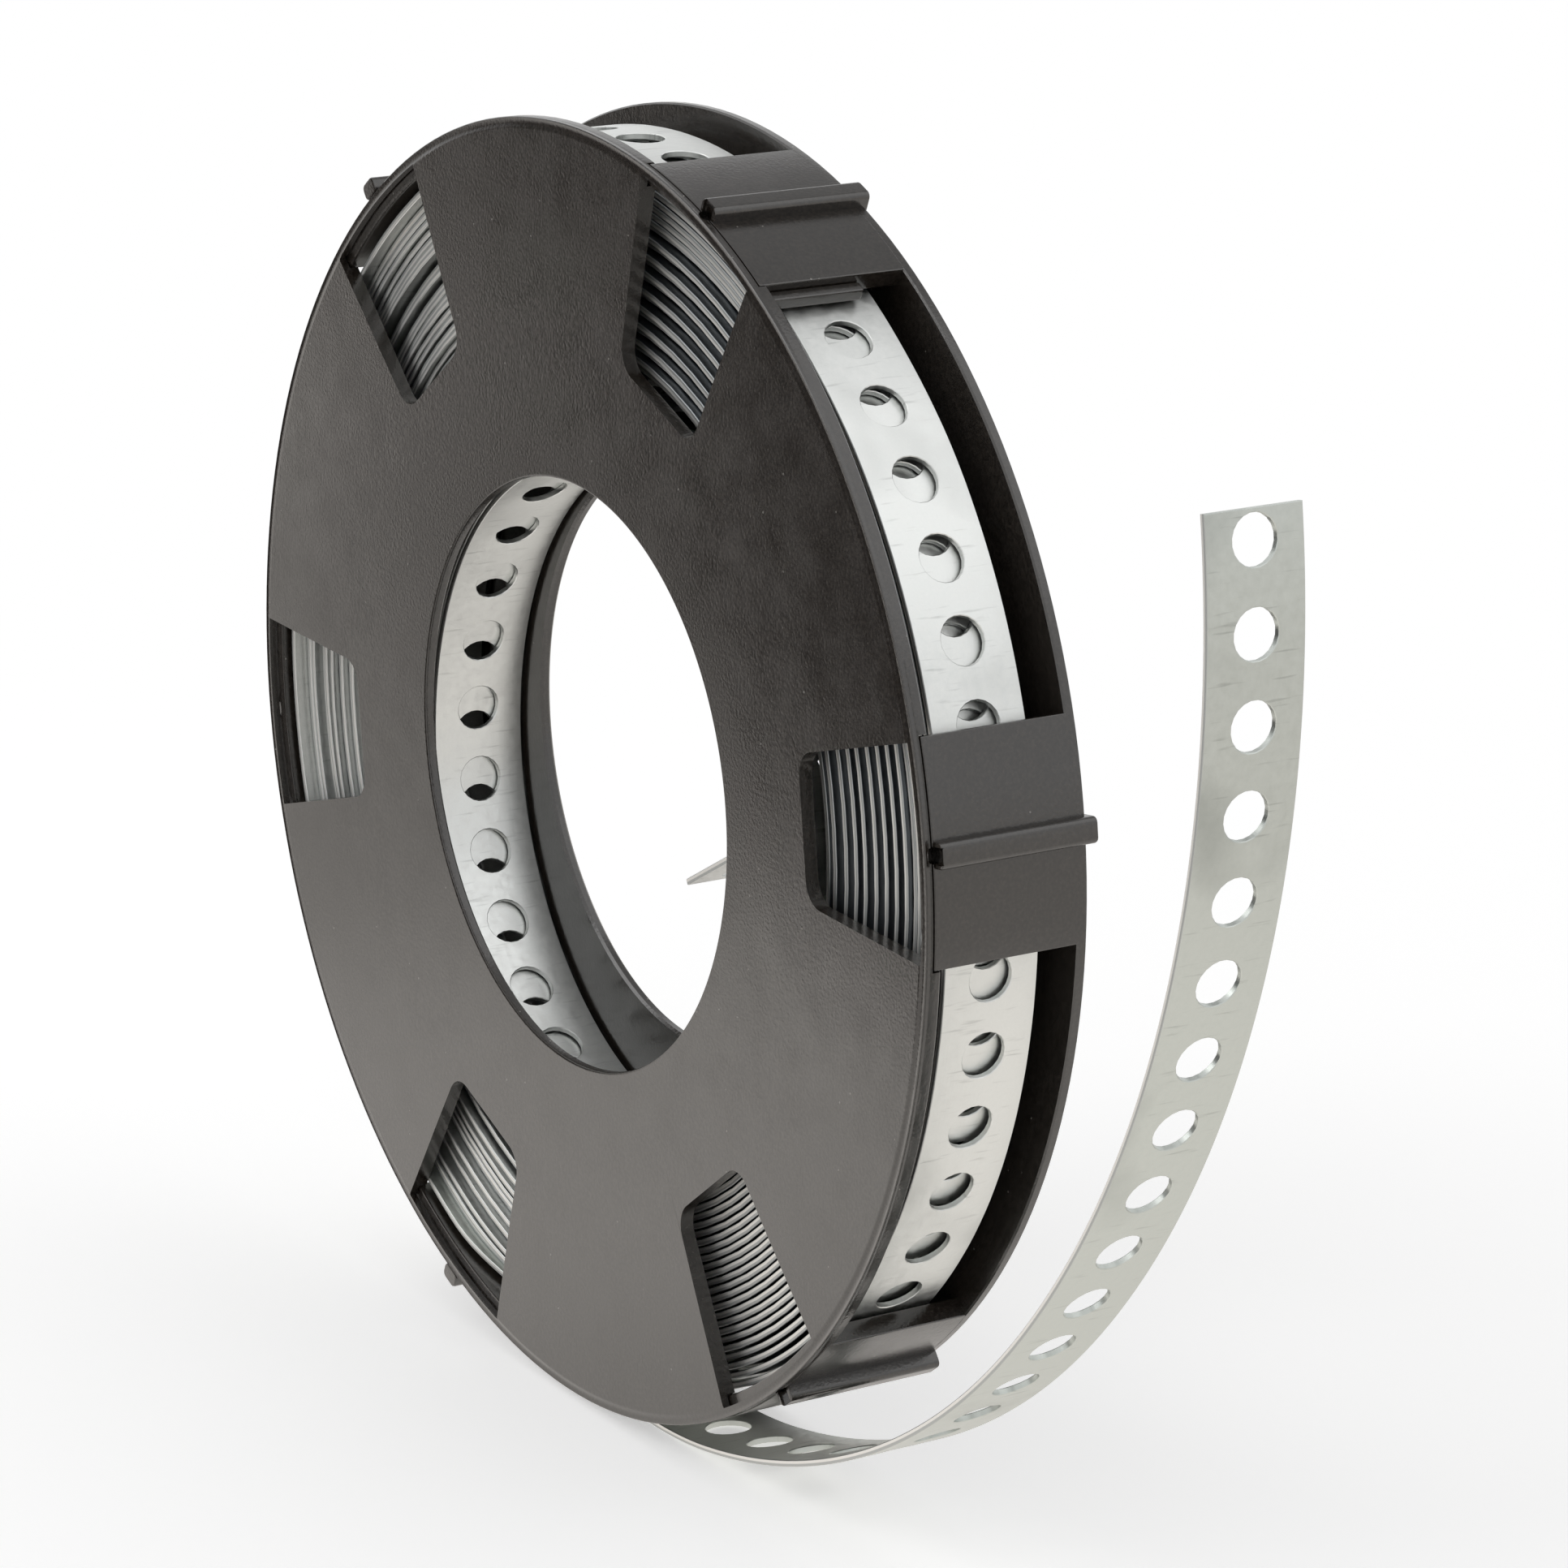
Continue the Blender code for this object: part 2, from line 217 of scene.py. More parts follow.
@dataclass(frozen=True)
class MouldedPolypropylene:
    """Black polypropylene from a fine spark-eroded mould.

    The mould's fine texture gives a satin sheen that turns grey where a pale surface is
    mirrored. Handling rubs its peaks paler and leaves dust specks. The texture is drawn about
    four times coarser than the real one, so that it shows in the render.
    """

    colour: str = "#1e1a16"
    sheen_colour: str = "#25201c"
    rubbed: str = "#4e4740"
    dust: str = "#a8a59f"
    roughness: float = 0.2
    texture_mm: float = 0.4
    grain_depth_mm: float = 0.05
    grain_strength: float = 0.42
    rub: float = 0.36
    cloud_mm: float = 38.0
    wear_mm: float = 6.0
    dust_mm: float = 2.2
    dust_chance: float = 0.28
    dust_size: float = 0.055
    dust_strength: float = 0.55

    def build(self, name: str) -> bpy.types.Material:
        """Make the material.

        Args:
            name: Name of the material.

        Returns:
            The material.
        """
        mat = bpy.data.materials.new(name)
        mat.use_nodes = True
        tree = mat.node_tree
        shader = tree.nodes["Principled BSDF"]
        shader.inputs["IOR"].default_value = 1.49
        shader.inputs["Specular IOR Level"].default_value = 1.0
        where = add_node(tree, "ShaderNodeTexCoord").outputs["Object"]
        cloud = add_node(tree, "ShaderNodeTexNoise", {"Scale": 1 / (self.cloud_mm * MM), "Detail": 3.0},
                         {"Vector": where})
        tone = add_node(tree, "ShaderNodeMix", {"data_type": "RGBA", 6: linear(self.colour),
                                                7: linear(self.sheen_colour)},
                        {0: cloud.outputs["Fac"]})
        grain = add_node(tree, "ShaderNodeTexNoise", {"Scale": 1 / (self.texture_mm * MM),
                                                      "Detail": 2.0}, {"Vector": where})
        rubbed = add_node(tree, "ShaderNodeMapRange", {"From Min": 0.4, "From Max": 0.7,
                                                       "To Min": 0.0, "To Max": self.rub},
                          {"Value": grain.outputs["Fac"]})
        peaks = add_node(tree, "ShaderNodeMix", {"data_type": "RGBA", 7: linear(self.rubbed)},
                         {0: rubbed.outputs["Result"], 6: tone.outputs[2]})
        specks = add_node(tree, "ShaderNodeTexVoronoi", {"Scale": 1 / (self.dust_mm * MM)},
                          {"Vector": where})
        chance = add_node(tree, "ShaderNodeSeparateColor", links={"Color": specks.outputs["Color"]})
        rare = add_node(tree, "ShaderNodeMath", {"operation": "GREATER_THAN", 1: 1.0 - self.dust_chance},
                        {0: chance.outputs["Red"]})
        near = add_node(tree, "ShaderNodeMath", {"operation": "LESS_THAN", 1: self.dust_size},
                        {0: specks.outputs["Distance"]})
        speck = add_node(tree, "ShaderNodeMath", {"operation": "MULTIPLY"},
                         {0: rare.outputs[0], 1: near.outputs[0]})
        speck_part = add_node(tree, "ShaderNodeMath", {"operation": "MULTIPLY", 1: self.dust_strength},
                              {0: speck.outputs[0]})
        dusty = add_node(tree, "ShaderNodeMix", {"data_type": "RGBA", 7: linear(self.dust)},
                         {0: speck_part.outputs[0], 6: peaks.outputs[2]})
        tree.links.new(dusty.outputs[2], shader.inputs["Base Color"])
        wear = add_node(tree, "ShaderNodeTexNoise", {"Scale": 1 / (self.wear_mm * MM), "Detail": 6.0,
                                                     "Roughness": 0.65}, {"Vector": where})
        rough = add_node(tree, "ShaderNodeMapRange", {"From Min": 0.3, "From Max": 0.7,
                                                      "To Min": self.roughness - 0.05,
                                                      "To Max": self.roughness + 0.07},
                         {"Value": wear.outputs["Fac"]})
        tree.links.new(rough.outputs["Result"], shader.inputs["Roughness"])
        bump = add_node(tree, "ShaderNodeBump", {"Strength": self.grain_strength,
                                                 "Distance": self.grain_depth_mm * MM},
                        {"Height": grain.outputs["Fac"]})
        tree.links.new(bump.outputs["Normal"], shader.inputs["Normal"])
        return mat


@dataclass(frozen=True)
class GalvanisedStrip:
    """Electro-galvanised steel strip, rolled, slit and punched.

    Rolling leaves fine lines along the strip, the thin zinc coat a mottled pale grey. The
    slitting shears leave each edge with a burnished band and a dull torn band. Painted shade
    darkens the faces of the wound turns in from their slit edges, where shade falls in the narrow
    gaps between the turns, and it is painted lighter on the left of the coil, where more light falls.
    The rolling lines are drawn a few times coarser than the real ones, so that they show.
    """

    pale: str = "#ecedeb"
    dull: str = "#cacdcb"
    handled: str = "#e0e3e0"
    edge: str = "#ecebe8"
    torn: str = "#bdbfbe"
    # painted shade for the faces of the turns in from their slit edges, where the narrow gaps between
    # the turns lie in shade
    painted_gap_shade: str = "#656a6f"
    stain: str = "#5f625f"
    roughness: float = 0.36
    slit_roughness: float = 0.62
    # width and soft fade of the painted shade band in from each slit edge, the share of it that stays on
    # the lit left of the coil, and the x range over which it grows to full strength
    shade_band_mm: float = 2.4
    shade_fade_mm: float = 0.8
    lit_side_shade: float = 0.22
    shade_sides_mm: tuple[float, float] = (-15.0, 5.0)
    roll_line_mm: float = 0.35
    roll_stretch: float = 0.02
    mottle_mm: float = 1.1
    patch_mm: float = 22.0
    scuff_mm: float = 0.55
    scuff_stretch: float = 0.09
    stain_depth: float = 0.35
    scuff_depth: float = 0.3
    handled_fade_mm: float = 25.0
    sheared_mm: tuple[float, float] = (0.4, 0.5)
    bump_mm: float = 0.03
    bump_strength: float = 0.25

    def build(self, name: str, reel: Reel, free: float,
              wound: tuple[float, float]) -> bpy.types.Material:
        """Make the material. Its pattern follows the strip through the UV map.

        Args:
            name: Name of the material.
            reel: The reel that the strip is wound on.
            free: Length of the free tail, which is handled most, in millimetres.
            wound: Length along the strip where its faces start and stop lying on other turns;
            between them painted shade darkens the faces in from their slit edges.

        Returns:
            The material.
        """
        mat = bpy.data.materials.new(name)
        mat.use_nodes = True
        tree = mat.node_tree
        half_width = reel.strap_width / 2
        shader = tree.nodes["Principled BSDF"]
        shader.inputs["Metallic"].default_value = 1.0
        along = add_node(tree, "ShaderNodeUVMap", {"uv_map": "strip"}).outputs["UV"]
        mottle = add_node(tree, "ShaderNodeTexNoise", {"Scale": 1 / self.mottle_mm, "Detail": 5.0,
                                                       "Roughness": 0.6}, {"Vector": along})
        patch = add_node(tree, "ShaderNodeTexNoise", {"Scale": 1 / self.patch_mm, "Detail": 3.0},
                         {"Vector": along})
        drawn = add_node(tree, "ShaderNodeMapping", {"Scale": (self.roll_stretch, 1.0, 1.0)},
                         {"Vector": along})
        lines = add_node(tree, "ShaderNodeTexNoise", {"Scale": 1 / self.roll_line_mm, "Detail": 3.0},
                         {"Vector": drawn.outputs["Vector"]})
        tone = add_node(tree, "ShaderNodeMix", {"data_type": "RGBA", 6: linear(self.dull),
                                                7: linear(self.pale)},
                        {0: mottle.outputs["Fac"]})
        worn = add_node(tree, "ShaderNodeMapRange", {"From Min": 0.56, "From Max": 0.78,
                                                     "To Min": 0.0, "To Max": self.stain_depth},
                        {"Value": patch.outputs["Fac"]})
        across = add_node(tree, "ShaderNodeMapping", {"Scale": (1.0, self.scuff_stretch, 1.0)},
                          {"Vector": along})
        scuffs = add_node(tree, "ShaderNodeTexNoise", {"Scale": 1 / self.scuff_mm, "Detail": 2.0},
                          {"Vector": across.outputs["Vector"]})
        scuffed = add_node(tree, "ShaderNodeMapRange", {"From Min": 0.62, "From Max": 0.76,
                                                        "To Min": 0.0, "To Max": self.scuff_depth},
                           {"Value": scuffs.outputs["Fac"]})
        marks = add_node(tree, "ShaderNodeMath", {"operation": "MAXIMUM"},
                         {0: worn.outputs["Result"], 1: scuffed.outputs["Result"]})
        marked = add_node(tree, "ShaderNodeMix", {"data_type": "RGBA", 7: linear(self.stain)},
                          {0: marks.outputs[0], 6: tone.outputs[2]})
        split = add_node(tree, "ShaderNodeSeparateXYZ", links={"Vector": along})
        aged = add_node(tree, "ShaderNodeMapRange", {"From Min": free - self.handled_fade_mm,
                                                     "From Max": free, "To Min": 1.0, "To Max": 0.0},
                        {"Value": split.outputs["X"]})
        stained = add_node(tree, "ShaderNodeMix", {"data_type": "RGBA", "blend_type": "MULTIPLY",
                                                   7: linear(self.handled)},
                           {0: aged.outputs["Result"], 6: marked.outputs[2]})
        off = add_node(tree, "ShaderNodeMath", {"operation": "ABSOLUTE"}, {0: split.outputs["Y"]})
        cut = add_node(tree, "ShaderNodeMath", {"operation": "GREATER_THAN", 1: half_width - 0.05},
                       {0: off.outputs[0]})
        start = add_node(tree, "ShaderNodeMath", {"operation": "GREATER_THAN", 1: wound[0]},
                         {0: split.outputs["X"]})
        stop = add_node(tree, "ShaderNodeMath", {"operation": "LESS_THAN", 1: wound[1]},
                        {0: split.outputs["X"]})
        inside = add_node(tree, "ShaderNodeMath", {"operation": "MULTIPLY"},
                          {0: start.outputs[0], 1: stop.outputs[0]})
        # painted shade between the turns: on the covered turns a dark band in from each slit edge,
        # fading towards the middle of the face, and painted lighter on the left of the coil, where more
        # light falls
        shade_edge = half_width - self.shade_band_mm
        beside = add_node(tree, "ShaderNodeMapRange", {"interpolation_type": "SMOOTHSTEP",
                                                       "From Min": shade_edge - self.shade_fade_mm,
                                                       "From Max": shade_edge},
                          {"Value": off.outputs[0]})
        room = add_node(tree, "ShaderNodeTexCoord").outputs["Object"]
        place = add_node(tree, "ShaderNodeSeparateXYZ", links={"Vector": room})
        left, right = (reel.origin.x + x * MM for x in self.shade_sides_mm)
        side = add_node(tree, "ShaderNodeMapRange", {"From Min": left, "From Max": right,
                                                     "To Min": self.lit_side_shade},
                        {"Value": place.outputs["X"]})
        shade_part = add_node(tree, "ShaderNodeMath", {"operation": "MULTIPLY"},
                         {0: side.outputs["Result"], 1: beside.outputs["Result"]})
        gap_shade = add_node(tree, "ShaderNodeMath", {"operation": "MULTIPLY"},
                        {0: inside.outputs[0], 1: shade_part.outputs[0]})
        gap_shaded = add_node(tree, "ShaderNodeMix", {"data_type": "RGBA", 7: linear(self.painted_gap_shade)},
                          {0: gap_shade.outputs[0], 6: stained.outputs[2]})
        torn_end, burnished = (half_width + v for v in self.sheared_mm)
        sheared = add_node(tree, "ShaderNodeMapRange", {"From Min": torn_end, "From Max": burnished},
                           {"Value": off.outputs[0]})
        slit = add_node(tree, "ShaderNodeMix", {"data_type": "RGBA", 6: linear(self.torn),
                                                7: linear(self.edge)},
                        {0: sheared.outputs["Result"]})
        base = add_node(tree, "ShaderNodeMix", {"data_type": "RGBA"},
                        {0: cut.outputs[0], 6: gap_shaded.outputs[2], 7: slit.outputs[2]})
        tree.links.new(base.outputs[2], shader.inputs["Base Color"])
        rough = add_node(tree, "ShaderNodeMapRange", {"From Min": 0.3, "From Max": 0.7,
                                                      "To Min": self.roughness - 0.06,
                                                      "To Max": self.roughness + 0.12},
                         {"Value": mottle.outputs["Fac"]})
        sides = add_node(tree, "ShaderNodeMix", {3: self.slit_roughness},
                         {0: cut.outputs[0], 2: rough.outputs["Result"]})
        tree.links.new(sides.outputs[0], shader.inputs["Roughness"])
        both = add_node(tree, "ShaderNodeMath", {"operation": "MULTIPLY_ADD", 1: 0.6},
                        {0: lines.outputs["Fac"], 2: mottle.outputs["Fac"]})
        bump = add_node(tree, "ShaderNodeBump", {"Strength": self.bump_strength,
                                                 "Distance": self.bump_mm * MM},
                        {"Height": both.outputs[0]})
        tree.links.new(bump.outputs["Normal"], shader.inputs["Normal"])
        return mat


def turned(profile: list[tuple[float, float]], steps: int, start: float = 0.0,
           sweep: float = 360.0) -> bmesh.types.BMesh:
    """Spin a closed profile about the reel's axis.

    Args:
        profile: Corners as radius and y.
        steps: Steps of the spin.
        start: Angle where the spin starts, in degrees.
        sweep: Angle that it covers, in degrees.

    Returns:
        A closed shell, with caps where the sweep is not a full turn.
    """
    bm = bmesh.new()
    x, z = polar(1.0, start)
    ring = [bm.verts.new((r * x, y, r * z)) for r, y in profile]
    full = sweep >= 360.0
    if full:
        geom = ring + [bm.edges.new((a, b)) for a, b in zip(ring, ring[1:] + ring[:1])]
    else:
        cap = bm.faces.new(ring)
        geom = [cap]
        bm.faces.new([bm.verts.new(v.co) for v in ring])
    bmesh.ops.spin(bm, geom=geom, cent=(0, 0, 0), axis=(0, -1, 0), angle=math.radians(sweep),
                   steps=steps, use_merge=full)
    bmesh.ops.remove_doubles(bm, verts=bm.verts, dist=1e-4)
    bmesh.ops.recalc_face_normals(bm, faces=bm.faces)
    return bm


def round_edges(bm: bmesh.types.BMesh, edges: list[bmesh.types.BMEdge], width: float,
                segments: int = 2) -> None:
    """Bevel edges with a round profile.

    Args:
        bm: Mesh to change.
        edges: Edges to bevel.
        width: Width of the bevel, in millimetres.
        segments: Segments over the bevel.
    """
    bmesh.ops.bevel(bm, geom=edges, offset=width, offset_type="OFFSET", segments=segments,
                    profile=0.5, affect="EDGES", material=-1, clamp_overlap=True)


def sharp_edges(bm: bmesh.types.BMesh, degrees: float = 50.0) -> list[bmesh.types.BMEdge]:
    """Find the sharp edges of a mesh.

    Args:
        bm: Mesh to search.
        degrees: Least angle between an edge's faces, in degrees.

    Returns:
        The edges whose faces meet at more than the angle.
    """
    return [e for e in bm.edges if e.is_manifold and e.calc_face_angle(0.0) > math.radians(degrees)]


def join(target: bmesh.types.BMesh, part: bmesh.types.BMesh, turn: float = 0.0) -> None:
    """Add one bmesh to another, turned about the reel's axis, and free it.

    Args:
        target: Mesh that takes the copy.
        part: Mesh to add.
        turn: Angle about the reel's axis, in degrees.
    """
    bmesh.ops.rotate(part, cent=(0, 0, 0), matrix=Matrix.Rotation(math.radians(-turn), 3, "Y"),
                     verts=part.verts)
    mesh = bpy.data.meshes.new("joined")
    part.to_mesh(mesh)
    part.free()
    target.from_mesh(mesh)
    bpy.data.meshes.remove(mesh)


@dataclass
class FrontHalf:
    """Front half of the cassette: a disc with six windows, its rim ring and snap tongues."""

    reel: Reel
    hub_t: float = 1.4
    rim_t: float = 2.0
    lip_width: float = 1.1
    lip_step: float = 0.22
    edge_round: float = 0.3
    corner_r: float = 3.0
    tongue_width: float = 1.4
    tongue_length: float = 12.1
    tongue_recess: float = 1.0
    tongue_gap: float = 0.08
    tongue_root: float = 0.6
    tongue_round: float = 0.25
    tongue_step: int = 2
    notch_lap: float = 0.15
    window_round: float = 0.22
    steps: int = 180

    def profile(self) -> list[tuple[float, float]]:
        """Draw the disc's cross-section.

        Returns:
            Corners as radius and y, with a rounded hub and a grooved lip along the rim.
        """
        r, hub, dish, e = self.reel.disc_r, self.reel.hub_r, self.reel.rim_dish, self.edge_round
        lip = r - self.lip_width
        inner = self.rim_t - dish
        return [
            (hub, e), (hub + 0.3 * e, 0.3 * e), (hub + e, 0.0), (hub + 12.0, -0.25 * dish),
            (lip - 14.0, -0.75 * dish), (lip - e, -dish), (lip, 0.35 * self.lip_step - dish),
            (lip + 0.25, 0.8 * self.lip_step - dish),
            (lip + 0.55, self.lip_step - dish), (r - 0.3, 0.15 - dish), (r - 0.12, 0.1 - dish),
            (r - 0.03, 0.16 - dish), (r, 0.28 - dish), (r - 0.06, 0.5 - dish), (r - 0.06, 0.75 - dish),
            (r, 0.95 - dish), (r, inner - 0.2), (r - 0.2, inner),
            (self.reel.wall_inner_r, inner), (hub + e, self.hub_t), (hub, self.hub_t - e),
        ]

    def window_cutter(self, middle: float) -> bmesh.types.BMesh:
        """One window as a prism: radial sides, a straight inner side with round corners, an arc.

        Args:
            middle: Angle of the window, in degrees.

        Returns:
            A closed prism that passes through the disc.
        """
        half = self.reel.window_angle / 2
        inner = self.reel.disc_r - self.reel.window_depth
        outer = self.reel.disc_r - self.reel.ring_width
        slope = math.tan(math.radians(half))
        rim = [polar(outer, half * k / 5) for k in range(-5, 6)]
        bm = bmesh.new()
        ring = [bm.verts.new((x, -4.0, z))
                for x, z in [(inner, -inner * slope), *rim, (inner, inner * slope)]]
        face = bm.faces.new(ring)
        made = bmesh.ops.extrude_face_region(bm, geom=[face])
        far = [v for v in made["geom"] if isinstance(v, bmesh.types.BMVert)]
        bmesh.ops.translate(bm, verts=far, vec=(0, 10.0, 0))
        corners = [e for e in bm.edges
                   if abs(e.verts[0].co.y - e.verts[1].co.y) > 5 and e.verts[0].co.x < inner + 1]
        reach = self.corner_r / math.tan(math.radians(45 + half / 2))
        round_edges(bm, corners, reach, 7)
        bmesh.ops.recalc_face_normals(bm, faces=bm.faces)
        bmesh.ops.rotate(bm, cent=(0, 0, 0), verts=bm.verts,
                         matrix=Matrix.Rotation(math.radians(-middle), 3, "Y"))
        return bm

    def notch_cutter(self, middle: float) -> bmesh.types.BMesh:
        """The notch behind the ring that takes the end of a wall.

        Args:
            middle: Angle of the wall, in degrees.

        Returns:
            A closed sector that is deeper and wider than the wall's end.
        """
        reel = self.reel
        half = reel.window_angle / 2 + math.degrees((reel.wall_lap + self.notch_lap) / reel.disc_r)
        low, high = reel.wall_inner_r - self.notch_lap, reel.disc_r + 4.0
        y0 = reel.ring_t - reel.rim_dish
        return turned([(low, y0), (high, y0), (high, 6.0), (low, 6.0)], 10, middle - half, 2 * half)

    def in_window(self, x: float, z: float, margin: float = 0.05) -> bool:
        """Say whether a point is on or in a window's outline.

        Args:
            x: The point's x, in millimetres from the axis.
            z: The point's z, in millimetres from the axis.
            margin: How far outside the outline it may lie.

        Returns:
            True where it belongs to one of the windows.
        """
        radius = math.hypot(x, z)
        if radius > self.reel.disc_r - self.reel.ring_width + margin:
            return False
        angle = math.degrees(math.atan2(z, x))
        for middle in self.reel.wall_angles:
            off = (angle - middle + 180.0) % 360.0 - 180.0
            limit = self.reel.window_angle / 2 + math.degrees(margin / radius)
            chord = radius * math.cos(math.radians(off))
            if abs(off) < limit and chord > self.reel.disc_r - self.reel.window_depth - margin:
                return True
        return False

    def tongue(self, wall: float) -> bmesh.types.BMesh:
        """A snap tongue beside one end of a wall, with rounded edges.

        Args:
            wall: Angle of the wall's middle, in degrees.

        Returns:
            The tongue as a closed bar that starts inside the disc.
        """
        reel = self.reel
        width = math.degrees(self.tongue_width / reel.disc_r)
        beside = math.degrees((reel.wall_lap + self.tongue_gap) / reel.disc_r)
        end = wall - reel.window_angle / 2 - beside
        inner, outer = reel.wall_inner_r - self.notch_lap, reel.disc_r - self.tongue_recess
        face = self.rim_t - reel.rim_dish
        root, tip = face - self.tongue_root, face + self.tongue_length
        bm = turned([(inner, root), (outer, root), (outer, tip), (inner, tip)], 1, end - width, width)
        round_edges(bm, sharp_edges(bm), self.tongue_round)
        return bm

    def build(self) -> bpy.types.Object:
        """Make the front half.

        Returns:
            The front half as one object.
        """
        disc = turned(self.profile(), self.steps)
        windows, notches, keyholes = bmesh.new(), bmesh.new(), bmesh.new()
        for middle in self.reel.wall_angles:
            join(windows, self.window_cutter(middle))
            join(notches, self.notch_cutter(middle))
            join(keyholes, keyhole_cutter(self.reel), middle)
        bm = cut_away(cut_away(cut_away(disc, windows), notches), keyholes)
        rims = [e for e in sharp_edges(bm)
                if all(self.in_window(v.co.x, v.co.z) for v in e.verts)]
        round_edges(bm, rims, self.window_round)
        for middle in self.reel.wall_angles[1::self.tongue_step]:
            join(bm, self.tongue(middle))
        return even_faces(self.reel.place(bm, "cassette_front_moulding"))


def even_faces(obj: bpy.types.Object) -> bpy.types.Object:
    """Keep a moulding's broad faces even, so that their corners carry no smudges of shade.

    Args:
        obj: The moulding.

    Returns:
        The same object, with a modifier that weights its normals by face area.
    """
    modifier = obj.modifiers.new("even_faces", "WEIGHTED_NORMAL")
    modifier.keep_sharp = True
    return obj


def keyhole_cutter(reel: Reel) -> bmesh.types.BMesh:
    """The small round recess in the rim in front of a rib, about angle 0.

    Args:
        reel: The reel whose rim is cut.

    Returns:
        A radial cylinder, a little wider along the rim.
    """
    bm = bmesh.new()
    bmesh.ops.create_cone(bm, cap_ends=True, segments=20, radius1=reel.keyhole_r,
                          radius2=reel.keyhole_r, depth=reel.keyhole_depth,
                          matrix=Matrix.Rotation(math.radians(90), 4, "Y"))
    bmesh.ops.scale(bm, vec=(1.0, 1.0, reel.keyhole_stretch), verts=bm.verts)
    place = (reel.disc_r + reel.keyhole_out, reel.wall_front_y + reel.keyhole_back, 0.0)
    bmesh.ops.translate(bm, vec=place, verts=bm.verts)
    return bm


def cut_away(body: bmesh.types.BMesh, cutter: bmesh.types.BMesh) -> bmesh.types.BMesh:
    """Cut one closed mesh out of another.

    Args:
        body: Mesh that is cut. It is freed.
        cutter: Mesh that is taken away. It is freed.

    Returns:
        A new bmesh of what stays.
    """
    made = []
    for bm, name in ((body, "cut_body"), (cutter, "cut_tool")):
        mesh = bpy.data.meshes.new(name)
        bm.to_mesh(mesh)
        bm.free()
        obj = bpy.data.objects.new(name, mesh)
        bpy.context.scene.collection.objects.link(obj)
        made.append(obj)
    modifier = made[0].modifiers.new("cut", "BOOLEAN")
    modifier.operation, modifier.solver, modifier.object = "DIFFERENCE", "EXACT", made[1]
    bpy.context.view_layer.update()
    result = bmesh.new()
    result.from_object(made[0], bpy.context.evaluated_depsgraph_get())
    for obj in made:
        mesh = obj.data
        bpy.data.objects.remove(obj)
        bpy.data.meshes.remove(mesh)
    bmesh.ops.remove_doubles(result, verts=result.verts, dist=0.02)
    bmesh.ops.dissolve_degenerate(result, edges=result.edges, dist=0.01)
    return result


